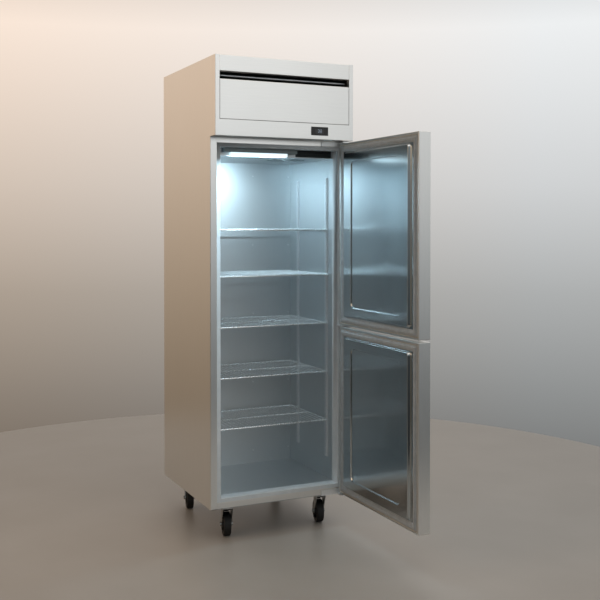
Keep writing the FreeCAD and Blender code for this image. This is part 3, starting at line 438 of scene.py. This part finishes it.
# Pilasters and clips: slotted channels of bright stainless, screwed to the side
# walls, with pressed clips hooked into the slots at each shelf.
bright_steel = brushed_stainless("bright_annealed_stainless", "#F2F5F6", 0.48, (1, 1, 20), 3 * MM, 0)
dress(bright_steel, "pilasters")
eased("clips", "shelf_clips", bright_steel, "cabinet", 35)


def pan_heads(places, facing, radius):
    """Domed screw heads, on a wall that faces along facing."""
    turn = facing.to_track_quat("Z", "Y").to_matrix().to_4x4()
    heads = []
    for spot in places:
        bm = bmesh.new()
        bmesh.ops.create_uvsphere(bm, u_segments=16, v_segments=8, radius=radius)
        bmesh.ops.bisect_plane(bm, geom=bm.verts[:] + bm.edges[:] + bm.faces[:], plane_co=(0, 0, 0),
                               plane_no=(0, 0, -1), clear_outer=True)
        bmesh.ops.holes_fill(bm, edges=[e for e in bm.edges if e.is_boundary])
        bmesh.ops.scale(bm, vec=(1, 1, 0.55), verts=bm.verts)
        bmesh.ops.transform(bm, matrix=Matrix.Translation(spot) @ turn, verts=bm.verts)
        heads.append(bm)
    return heads


pilasters_low, pilasters_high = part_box("pilasters")
duct_low, duct_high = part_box("rear_duct_panels")
channel_half, channel_depth, from_end = 8 * MM, 6 * MM, 6 * MM
front_pilaster_y = pilasters_low.y + channel_half
rear_pilaster_y = pilasters_high.y - channel_half
head_radius = 3.6 * MM
heads = []
for sign in (-1, 1):
    face_x = sign * (pilasters_high.x - channel_depth)
    places = [(face_x, y, z) for y in (front_pilaster_y, rear_pilaster_y)
              for z in (pilasters_low.z + from_end, (pilasters_low.z + pilasters_high.z) / 2,
                        pilasters_high.z - from_end)]
    heads += pan_heads([Vector(p) for p in places], X * -sign, head_radius)
row_count, row_margin, side_margin = 5, 60 * MM, 12 * MM
row_pitch = (duct_high.z - duct_low.z - 2 * row_margin) / (row_count - 1)
duct_rows = [duct_low.z + row_margin + i * row_pitch for i in range(row_count)]
seam_x = duct_high.x - 206 * MM
duct_columns = [x_sign * (duct_high.x - side_margin) for x_sign in (-1, 1)] + [seam_x + 9 * MM]
duct_places = [Vector((x, duct_low.y, z)) for x in duct_columns for z in duct_rows]
heads += pan_heads(duct_places, -Y, head_radius)
piece("wall_screws", joined(heads), bright_steel, "cabinet", smooth=60)


# Shelves: welded wire under bright chrome. The plate is nearly a mirror, a little
# blue, with slight orange peel at the welds.
def chrome_plate():
    material, tree, shader = finish("bright_chrome_plate", "#F1F4F5", 0.26, metallic=1.0)
    peel = grown(tree, 4 * MM, Detail=2.0).outputs["Fac"]
    tree.links.new(spread(tree, peel, 0.22, 0.32), shader.inputs["Roughness"])
    emboss(tree, shader, peel, 0.02 * MM)
    return material


chrome = chrome_plate()
for number in range(1, 6):
    eased(f"wire_shelf_{number}", f"shelf_{number}", chrome, f"shelf_{number}", 60)


# Lamp: a moulded grey housing across the top of the mouth, with an opal lens over
# a strip of cool white diodes.
def opal_lens():
    material, tree, shader = finish("lit_opal_polycarbonate", "#F2FAFC", 0.35, IOR=1.58)
    shader.inputs["Emission Color"].default_value = linear("#DDF6FF")
    shader.inputs["Emission Strength"].default_value = 1.1
    return material


def moulded(name, colour, roughness, grit=0.8 * MM, depth=0.03 * MM):
    """Moulded plastic with the fine spark-eroded texture of its tool."""
    material, tree, shader = finish(name, colour, roughness, IOR=1.5)
    grain = grown(tree, grit, Detail=2.0).outputs["Fac"]
    tree.links.new(spread(tree, grain, roughness - 0.06, roughness + 0.08), shader.inputs["Roughness"])
    emboss(tree, shader, grain, depth)
    return material


lens_low, lens_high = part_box("lamp_diffuser")
lens_middle = (lens_low + lens_high) / 2
lens_end, lens_side = 14 * MM, 7 * MM
bm = slab(lens_low + Vector((lens_end, lens_side, 0)), lens_high - Vector((lens_end, lens_side, 0)))
under_edges = [e for e in bm.edges if e.verts[0].co.z + e.verts[1].co.z < 2 * lens_low.z + 1 * MM]
bend(bm, under_edges, 3 * MM)
piece("lamp_lens_cover", bm, opal_lens(), "cabinet", ["lamp_diffuser"], 40)
eased("lamp_body_moulding", "lamp_housing", moulded("grey_abs_moulding", "#7E8A8B", 0.4), "cabinet",
      35, 2.0 * MM, 3)
lens_long, lens_deep = lens_high.x - lens_low.x, lens_high.y - lens_low.y
under_lens = lens_low.z - 3 * MM
wide_throw = soft_light("diode_strip", (lens_middle.x, lens_middle.y, under_lens),
                        (lens_middle.x, duct_low.y, duct_low.z),
                        (lens_long - 2 * lens_end, lens_deep - 2 * lens_side), 2.4, "#CDEEFF")
aim_x, aim_drop, beam_degrees = -60 * MM, 260 * MM, 75
narrow_throw = soft_light("diode_lenses", (lens_middle.x, lens_high.y, under_lens),
                          (aim_x, duct_low.y, duct_high.z - aim_drop),
                          (0.7 * lens_long, lens_deep), 0.85, "#D6F2FF")
narrow_throw.data.spread = math.radians(beam_degrees)
for light in (wide_throw, narrow_throw):
    light.parent = frame["bodies"]["cabinet"]

# Return air: a louvred fascia on the front of the evaporator cover, to the right of the
# lamp, that the evaporator fan draws the cabinet's air through. Its near-black grey is
# painted shade, standing for the shadow that falls over the cover's front face.
louvre_painted_shade = moulded("abs_louvre_painted_shade", "#2B3335", 0.55)
cover_low, cover_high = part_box("evaporator_cover")
louvre_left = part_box("lamp_housing")[1].x + 4 * MM
louvre_right = cover_high.x - 8 * MM
louvre_face = cover_low.y - 2.5 * MM
louvre_bottom, louvre_top = cover_low.z + 4 * MM, cover_high.z - 6 * MM
blade_pitch, blade_reach, blade_thick, blade_tilt = 9 * MM, 2.5 * MM, 0.9 * MM, 28
blade_ends = 5 * MM
blades = [slab((louvre_left, louvre_face + 1.5 * MM, louvre_bottom),
               (louvre_right, cover_low.y, louvre_top), 0.4 * MM)]
for step in range(int((louvre_top - louvre_bottom) / blade_pitch)):
    height = louvre_bottom + (step + 0.5) * blade_pitch
    blade = slab((louvre_left + blade_ends, -blade_reach, -blade_thick),
                 (louvre_right - blade_ends, blade_reach, blade_thick), 0.3 * MM)
    tilt = Matrix.Rotation(math.radians(blade_tilt), 3, "X")
    bmesh.ops.rotate(blade, verts=blade.verts, cent=(0, 0, 0), matrix=tilt)
    bmesh.ops.translate(blade, verts=blade.verts, vec=(0, louvre_face + 0.4 * MM, height))
    blades.append(blade)
# The louvre's near-black colour is painted shade over the cover's front face.
piece("return_air_louvre", joined(blades), louvre_painted_shade, "cabinet")

# Evaporator: an aluminium fin and tube coil with a fan that draws box air up
# through a wire guard.
aluminium_fin = brushed_stainless("mill_finish_aluminium", "#C9CCCF", 0.34, (1, 20, 1), 1.5 * MM)
dress(aluminium_fin, "evaporator_coil", "condenser_coil")
dark_nylon = moulded("glass_filled_nylon", "#1C1D1F", 0.48)
eased("evaporator_fan_wheel", "evaporator_fan", dark_nylon, "evaporator_fan", 35)
eased("condenser_fan_wheel", "condenser_fan", dark_nylon, "condenser_fan", 35)

# Header: a stainless hood folded at its corners, an upper panel over the vent slot,
# and the hinged service panel below it.
header_low, header_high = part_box("header_frame")
upper_low, upper_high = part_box("header_upper_panel")
service_low, service_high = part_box("service_panel")
controller_low, controller_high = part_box("controller_case")
header_front = upper_low.y
hood = slab((header_low.x, header_front, header_low.z), (header_high.x, header_high.y, header_high.z))
lids = [f for f in hood.faces if f.normal.z > 0.9 or f.normal.y > 0.9]
bmesh.ops.delete(hood, geom=lids, context="FACES")
bend(hood, [e for e in hood.edges if len(e.link_faces) == 2], fold_radius)
window_half = upper_high.x + 1.0 * MM
sill_top = service_low.z - 1.0 * MM
bezel_lap = Vector((3, 0, 3)) * MM
bezel_low, bezel_high = controller_low + bezel_lap, controller_high - bezel_lap
cuts = [(X, -window_half), (X, window_half), (Z, sill_top), (X, bezel_low.x), (X, bezel_high.x),
        (Z, bezel_low.z), (Z, bezel_high.z)]
for normal, place in cuts:
    bmesh.ops.bisect_plane(hood, geom=hood.verts[:] + hood.edges[:] + hood.faces[:],
                           plane_co=normal * place, plane_no=normal)


def inside_openings(face):
    """Whether a front face lies in the panel window or the controller's cutout."""
    centre = face.calc_center_median()
    if centre.y > header_front + 0.1 * MM:
        return False
    window = abs(centre.x) < window_half and centre.z > sill_top
    cutout = bezel_low.x < centre.x < bezel_high.x and bezel_low.z < centre.z < bezel_high.z
    return window or cutout


bmesh.ops.delete(hood, geom=[f for f in hood.faces if inside_openings(f)], context="FACES")
sheet_of(hood, sheet, -Y)
piece("header_hood", hood, across_steel, "cabinet", ["header_frame"])

lip_depth = 17 * MM
profile = [(upper_low.x, header_front + lip_depth, upper_low.z), (upper_low.x, header_front, upper_low.z),
           (upper_low.x, header_front, upper_high.z), (upper_low.x, upper_high.y, upper_high.z)]
bm = folded(profile, X, upper_high.x - upper_low.x, fold_radius)
sheet_of(bm, sheet, -Y)
piece("header_brow", bm, across_steel, "cabinet", ["header_upper_panel"])

panel_half = upper_high.x
pan = slab((-panel_half, service_low.y, service_low.z), (panel_half, service_high.y, service_high.z))
bmesh.ops.delete(pan, geom=[f for f in pan.faces if f.normal.y > 0.9], context="FACES")
bend(pan, [e for e in pan.edges if len(e.link_faces) == 2], 1.8 * MM)
sheet_of(pan, sheet, -Y)
pivot_back, pivot_radius = 8 * MM, 2.5 * MM
pivot_y, pivot_z = header_front + pivot_back, service_high.z - pivot_back


def peg(start, end, radius):
    """A round pin from one point to another."""
    start, end = Vector(start), Vector(end)
    bm = bmesh.new()
    bmesh.ops.create_cone(bm, cap_ends=True, segments=24, radius1=radius, radius2=radius,
                          depth=(end - start).length)
    turn = (end - start).to_track_quat("Z", "Y").to_matrix().to_4x4()
    bmesh.ops.transform(bm, matrix=Matrix.Translation((start + end) / 2) @ turn, verts=bm.verts)
    return bm


pegs = [peg((side * (panel_half - 2 * MM), pivot_y, pivot_z), (side * service_high.x, pivot_y, pivot_z),
            pivot_radius) for side in (-1, 1)]
piece("service_panel_pan", joined([pan] + pegs), across_steel, "service_panel",
      ["service_panel"])


def filter_cloth():
    """Black woven nylon that keeps lint off the condenser."""
    material, tree, shader = finish("black_filter_cloth", "#0B0B0C", 0.8)
    weave = grown(tree, 1.4 * MM, "TexWave").outputs["Fac"]
    tree.links.new(ramp(tree, weave, [(0.4, linear("#080808")), (0.6, linear("#121213"))]),
                   shader.inputs["Base Color"])
    emboss(tree, shader, weave, 0.2 * MM)
    return material


black_abs = moulded("black_abs", "#17181A", 0.42)
eased("vent_tray", "vent_grille", black_abs, "cabinet", 35)
filter_low, filter_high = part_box("vent_grille")
cloth_back, cloth_thick, tray_wall = filter_high.y - 2 * MM, 1.5 * MM, 1.5 * MM
bm = slab((filter_low.x + 2 * MM, cloth_back - cloth_thick, filter_low.z + tray_wall),
          (filter_high.x - 2 * MM, cloth_back, filter_high.z - tray_wall), 0.3 * MM)
piece("vent_filter_cloth", bm, filter_cloth(), "cabinet")
anodised = brushed_stainless("anodised_aluminium", "#D6D9DC", 0.46, (60, 1, 1), 1.2 * MM)
eased("vent_vane", "vent_blade", anodised, "cabinet", 35, 3.0 * MM, 4)


# Controller: a black bezel round a smoked window, with two dim seven-segment
# figures that read a plain temperature.
def smoked_window():
    return finish("smoked_acrylic", "#0C0D0E", 0.12, IOR=1.49)[0]


def lit_segment():
    material, tree, shader = finish("dim_display_segment", "#6A7078", 0.4)
    shader.inputs["Emission Color"].default_value = linear("#9FB0C4")
    shader.inputs["Emission Strength"].default_value = 0.35
    return material


eased("controller_bezel", "controller_case", black_abs, "cabinet", 35, 0.6 * MM)
glass_side, glass_end = 18.3 * MM, 8.3 * MM
glass_low = Vector((controller_low.x + glass_side, header_front - 1.5 * MM, controller_low.z + glass_end))
glass_high = Vector((controller_high.x - glass_side, header_front - 1.0 * MM,
                     controller_high.z - glass_end))
piece("controller_window", slab(glass_low, glass_high, 0.15 * MM), smoked_window(), "cabinet")

lit_bars = {"3": "ABCDG", "8": "ABCDEFG"}
digit_high, digit_wide, stroke = 13 * MM, 7.5 * MM, 1.7 * MM
digit_pitch, figures_half = 11 * MM, 9.5 * MM
bars = []
for place, digit in enumerate("38"):
    left = (glass_low.x + glass_high.x) / 2 - figures_half + place * digit_pitch
    low = (glass_low.z + glass_high.z) / 2 - digit_high / 2
    middle, top = low + digit_high / 2, low + digit_high
    lines = {
        "A": (left, top, digit_wide, 0), "G": (left, middle, digit_wide, 0),
        "D": (left, low, digit_wide, 0),
        "F": (left, middle, 0, digit_high / 2), "B": (left + digit_wide, middle, 0, digit_high / 2),
        "E": (left, low, 0, digit_high / 2), "C": (left + digit_wide, low, 0, digit_high / 2),
    }
    for key in lit_bars[digit]:
        x, z, wide, tall = lines[key]
        bars.append(slab((x + (stroke / 2 if wide else -stroke / 2), glass_low.y - 0.15 * MM,
                          z + (stroke / 2 if tall else -stroke / 2)),
                         (x + (wide - stroke / 2 if wide else stroke / 2), glass_low.y,
                          z + (tall - stroke / 2 if tall else stroke / 2))))
piece("controller_figures", joined(bars), lit_segment(), "cabinet")


# Condensing unit: on the open deck behind the header stand a black enamelled
# compressor, the condenser with its fan, a zinc box of controls and copper lines.
def black_enamel():
    material, tree, shader = finish("black_stove_enamel", "#101112", 0.34, Coat_Weight=0.4)
    peel = grown(tree, 3 * MM, Detail=2.0).outputs["Fac"]
    tree.links.new(spread(tree, peel, 0.28, 0.45), shader.inputs["Roughness"])
    emboss(tree, shader, peel, 0.05 * MM)
    return material


def copper_tube():
    material, tree, shader = finish("drawn_copper_tube", "#C98A67", 0.30, metallic=1.0)
    stain = grown(tree, 25 * MM, Detail=4.0).outputs["Fac"]
    tree.links.new(ramp(tree, stain, [(0.35, linear("#A8674A")), (0.65, linear("#D0936F"))]),
                   shader.inputs["Base Color"])
    tree.links.new(spread(tree, stain, 0.22, 0.42), shader.inputs["Roughness"])
    return material


enamel = black_enamel()
eased("compressor_shell", "compressor", enamel, "cabinet", 30)
eased("fan_motor_shells", "fan_motors", enamel, "cabinet", 30)
eased("copper_lines", "refrigerant_lines", copper_tube(), "cabinet", 50)
eased("control_box", "electrical_box", zinc_sheet, "cabinet", 35)
eased("cord_inlet_gland", "cord_gland", black_abs, "cabinet", 35)

# Hinges: polished stainless brackets with fixed pins, held on the face frame by
# countersunk screws.
eased("hinge_plates", "hinge_brackets", bright_steel, "cabinet", 35)
eased("fastener_set", "screws", bright_steel, "cabinet", 35)

# Doors: each is a foamed pan of brushed stainless, folded round its rim, with a
# pressed liner that stands out as a dike round a sunk middle. They are drawn
# closed, and turned open about the hinge pins.
skin_return = 14 * MM
hinge_low, hinge_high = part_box("upper_door_bushes")
hinge_axis = (hinge_low + hinge_high) / 2


def swung(bm):
    """Turns a door piece from closed to open about the pins."""
    about = Matrix.Translation((hinge_axis.x, hinge_axis.y, 0))
    bmesh.ops.transform(bm, matrix=about @ Matrix.Rotation(math.radians(90), 4, "Z") @ about.inverted(),
                        verts=bm.verts)
    return bm


def loop(bm, x, z, y, radius, corner_points=8):
    """A closed row of points round a rectangle in the plane at y, with round corners."""
    verts = []
    corners = [(x[1], z[1], 0), (x[0], z[1], 90), (x[0], z[0], 180), (x[1], z[0], 270)]
    for corner_x, corner_z, start in corners:
        centre_x = corner_x - math.copysign(radius, corner_x - (x[0] + x[1]) / 2)
        centre_z = corner_z - math.copysign(radius, corner_z - (z[0] + z[1]) / 2)
        for i in range(corner_points):
            angle = math.radians(start + 90 * i / (corner_points - 1))
            verts.append(bm.verts.new((centre_x + radius * math.cos(angle), y,
                                       centre_z + radius * math.sin(angle))))
    return verts


def terraced(loops, closed=False):
    """A surface through nested loops, each (x limits, z limits, y, corner radius)."""
    bm = bmesh.new()
    rows = [loop(bm, *row) for row in loops]
    for outer, inner in zip(rows, rows[1:] + (rows[:1] if closed else [])):
        for i in range(len(outer)):
            bm.faces.new((outer[i - 1], outer[i], inner[i], inner[i - 1]))
    return bm, rows


def vinyl_gasket():
    material, tree, shader = finish("grey_flexible_vinyl", "#A2A8AC", 0.48, IOR=1.54)
    bloom = grown(tree, 0.02, Detail=3.0).outputs["Fac"]
    tree.links.new(ramp(tree, bloom, [(0.3, linear("#999FA3")), (0.7, linear("#AAB0B3"))]),
                   shader.inputs["Base Color"])
    tree.links.new(spread(tree, bloom, 0.42, 0.56), shader.inputs["Roughness"])
    return material


gasket_vinyl = vinyl_gasket()
door_steel = brushed_stainless("brushed_stainless_door", roughness=0.32)
door_liner_steel = brushed_stainless("pressed_stainless_door_liner", "#BFC5C7", 0.15, (1, 1, 40),
                                     6 * MM, 0, 0.012)
handle_plastic = moulded("dark_grey_nylon", "#2A2B2D", 0.45)
nylon_bush = moulded("natural_nylon", "#D8D4C6", 0.4)
half = body_high.x
outer_y = header_front
inner_y = body_low.y - 5 * MM
dike_side, dike_end, dike_height = 58 * MM, 42 * MM, 10 * MM
margin_side, margin_end, recess_depth = 62 * MM, 40 * MM, 4.5 * MM
slope, cup_lap = 4 * MM, 5 * MM
seal_outset, seal_past, seal_corner = 3 * MM, 20 * MM, 2.0 * MM
for name in ("upper_door", "lower_door"):
    skin_low, skin_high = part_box(f"{name}_skin")
    low, high = skin_low.z, skin_high.z
    cup_low, cup_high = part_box(f"{name}_handle")
    cup_x = sorted(hinge_axis.x + (y - hinge_axis.y) for y in (cup_low.y, cup_high.y))
    cup_z = (cup_low.z, cup_high.z)
    bm = slab((-half, outer_y, low), (half, inner_y, high))
    back = [f for f in bm.faces if f.normal.y > 0.9]
    bmesh.ops.inset_individual(bm, faces=back, thickness=skin_return)
    bmesh.ops.delete(bm, geom=back, context="FACES")
    bend(bm, [e for e in bm.edges if len(e.link_faces) == 2 and e.calc_face_angle(0) > 1.0], fold_radius)
    hole_x, hole_z = [(ends[0] + cup_lap, ends[1] - cup_lap) for ends in (cup_x, cup_z)]
    for normal, place in ((X, hole_x[0]), (X, hole_x[1]), (Z, hole_z[0]), (Z, hole_z[1])):
        bmesh.ops.bisect_plane(bm, geom=bm.verts[:] + bm.edges[:] + bm.faces[:], plane_co=normal * place,
                               plane_no=normal)
    hole = []
    for face in bm.faces:
        centre = face.calc_center_median()
        if (centre.y < outer_y + 0.1 * MM and hole_x[0] < centre.x < hole_x[1]
                and hole_z[0] < centre.z < hole_z[1]):
            hole.append(face)
    bmesh.ops.delete(bm, geom=hole, context="FACES")
    sheet_of(bm, sheet, -Y)
    piece(f"{name}_pan", swung(bm), door_steel, name, [f"{name}_skin"])

    dike_x, dike_z = (-half + dike_side, half - dike_side), (low + dike_end, high - dike_end)

    def ring_at(inset_x, inset_z, y, radius):
        return ((dike_x[0] + inset_x, dike_x[1] - inset_x), (dike_z[0] + inset_z, dike_z[1] - inset_z),
                y, radius)

    top = inner_y + dike_height
    floor_of_well = top - recess_depth
    flange_x, flange_z = dike_side - skin_return, dike_end - skin_return
    rows = [ring_at(-flange_x, -flange_z, inner_y, 1.0 * MM), ring_at(0, 0, inner_y, 14 * MM),
            ring_at(slope, slope, top, 12 * MM),
            ring_at(margin_side, margin_end, top, 22 * MM),
            ring_at(margin_side + slope, margin_end + slope, floor_of_well, 20 * MM)]
    bm, made_rows = terraced(rows)
    bm.faces.new(made_rows[-1])
    folds = [bm.edges.get((row[i - 1], row[i])) for row in made_rows[1:] for i in range(len(row))]
    bend(bm, folds, 1.6 * MM, 3)
    sheet_of(bm, sheet, Y)
    piece(f"{name}_pressed_liner", swung(bm), door_liner_steel, name,
          [f"{name}_liner"])

    seal_low, seal_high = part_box(f"{name}_gasket")
    inset = skin_return - seal_outset
    reach = seal_low.z - low + seal_past - inset
    tip_y = inner_y + (seal_high.x - seal_low.x)
    # A thin flange that clears the hinge plates, then the bead; shares of reach and of height.
    profile = [(0, 0), (0.3, 0.1), (3.5, 0.12), (4.2, 1.0), (7.5, 1.0), (8.6, 0.8), (8.8, 0.4),
               (9.6, 0.3), (11.0, 0.3), (11.6, 0.0)]
    profile_width = profile[-1][0]
    rows = []
    for across, up in profile:
        grow = inset + across / profile_width * reach
        rows.append(((-half + grow, half - grow), (low + grow, high - grow),
                     inner_y + up * (tip_y - inner_y), seal_corner))
    bm, made_rows = terraced(rows, closed=True)
    bmesh.ops.recalc_face_normals(bm, faces=bm.faces)
    piece(f"{name}_seal", swung(bm), gasket_vinyl, name, [f"{name}_gasket"], 50)
    eased(f"{name}_pull", f"{name}_handle", handle_plastic, name, 40)
    dress(nylon_bush, f"{name}_bushes")


# Casters: zinc plated pressed forks that swivel on the top plate, with black
# rubber treads bonded to moulded cores, and foot brakes on the front pair.
def zinc_plate():
    material, tree, shader = finish("bright_zinc_plate", "#BFC1C0", 0.28, metallic=1.0)
    cloud = grown(tree, 0.02, Detail=3.0).outputs["Fac"]
    tree.links.new(ramp(tree, cloud, [(0.3, linear("#B2B5B6")), (0.7, linear("#C9CAC8"))]),
                   shader.inputs["Base Color"])
    tree.links.new(spread(tree, cloud, 0.22, 0.38), shader.inputs["Roughness"])
    return material


def tread_rubber():
    material, tree, shader = finish("black_tread_rubber", "#0A0A0A", 0.62)
    scuff = grown(tree, 6 * MM, Detail=4.0).outputs["Fac"]
    tree.links.new(ramp(tree, scuff, [(0.35, linear("#070707")), (0.75, linear("#100F0F"))]),
                   shader.inputs["Base Color"])
    emboss(tree, shader, scuff, 0.06 * MM)
    return material


zinc = zinc_plate()
rubber = tread_rubber()
core_plastic = moulded("black_polyolefin_core", "#0E0F10", 0.4)
eased("caster_top_plates", "caster_plates", zinc, "cabinet", 35)


def wheel(profile, centre, axle):
    """A ring spun from a closed section of (radius, offset along the axle) points."""
    bm = bmesh.new()
    verts = [bm.verts.new((radius, 0, offset)) for radius, offset in profile]
    edges = [bm.edges.new(pair) for pair in zip(verts, verts[1:] + verts[:1])]
    bmesh.ops.spin(bm, geom=verts + edges, cent=(0, 0, 0), axis=(0, 0, 1), angle=math.tau, steps=64,
                   use_merge=True)
    bmesh.ops.recalc_face_normals(bm, faces=bm.faces)
    turn = axle.to_track_quat("Z", "Y").to_matrix().to_4x4()
    bmesh.ops.transform(bm, matrix=Matrix.Translation(centre) @ turn, verts=bm.verts)
    return bm


axles = {joint["child"]: Vector(joint["axis"]) for joint in frame["joints"]}
for corner in ("fl", "fr", "rl", "rr"):
    node = f"caster_{corner}_wheel"
    wheel_low, wheel_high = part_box(node)
    centre = (wheel_low + wheel_high) / 2
    radius = (wheel_high.z - wheel_low.z) / 2
    axle = axles[node]
    half_tread, half_hub, shoulder, bond = 16 * MM, 18 * MM, 5 * MM, 36 * MM
    tread = [(radius - shoulder * (1 - math.cos(math.radians(a))),
              half_tread - shoulder + shoulder * math.sin(math.radians(a))) for a in range(0, 91, 18)]
    section = tread + [(bond, half_tread - 1 * MM), (bond, -half_tread + 1 * MM)]
    section += [(r, -offset) for r, offset in reversed(tread)]
    piece(f"caster_{corner}_tread", wheel(section, centre, axle), rubber, node,
          [node], 40)
    core = [(bond, half_tread - 2.5 * MM), (33 * MM, half_tread - 2.0 * MM), (31 * MM, 7 * MM),
            (17 * MM, 7 * MM), (14 * MM, half_hub), (6 * MM, half_hub)]
    core += [(r, -offset) for r, offset in reversed(core)]
    piece(f"caster_{corner}_core", wheel(core, centre, axle), core_plastic, node,
          smooth=30)
    fork = f"caster_{corner}_fork"
    eased(f"caster_{corner}_yoke", fork, zinc, fork)
for corner in ("fl", "fr"):
    eased(f"caster_{corner}_pedal", f"caster_{corner}_brake", enamel, f"caster_{corner}_brake",
          35)
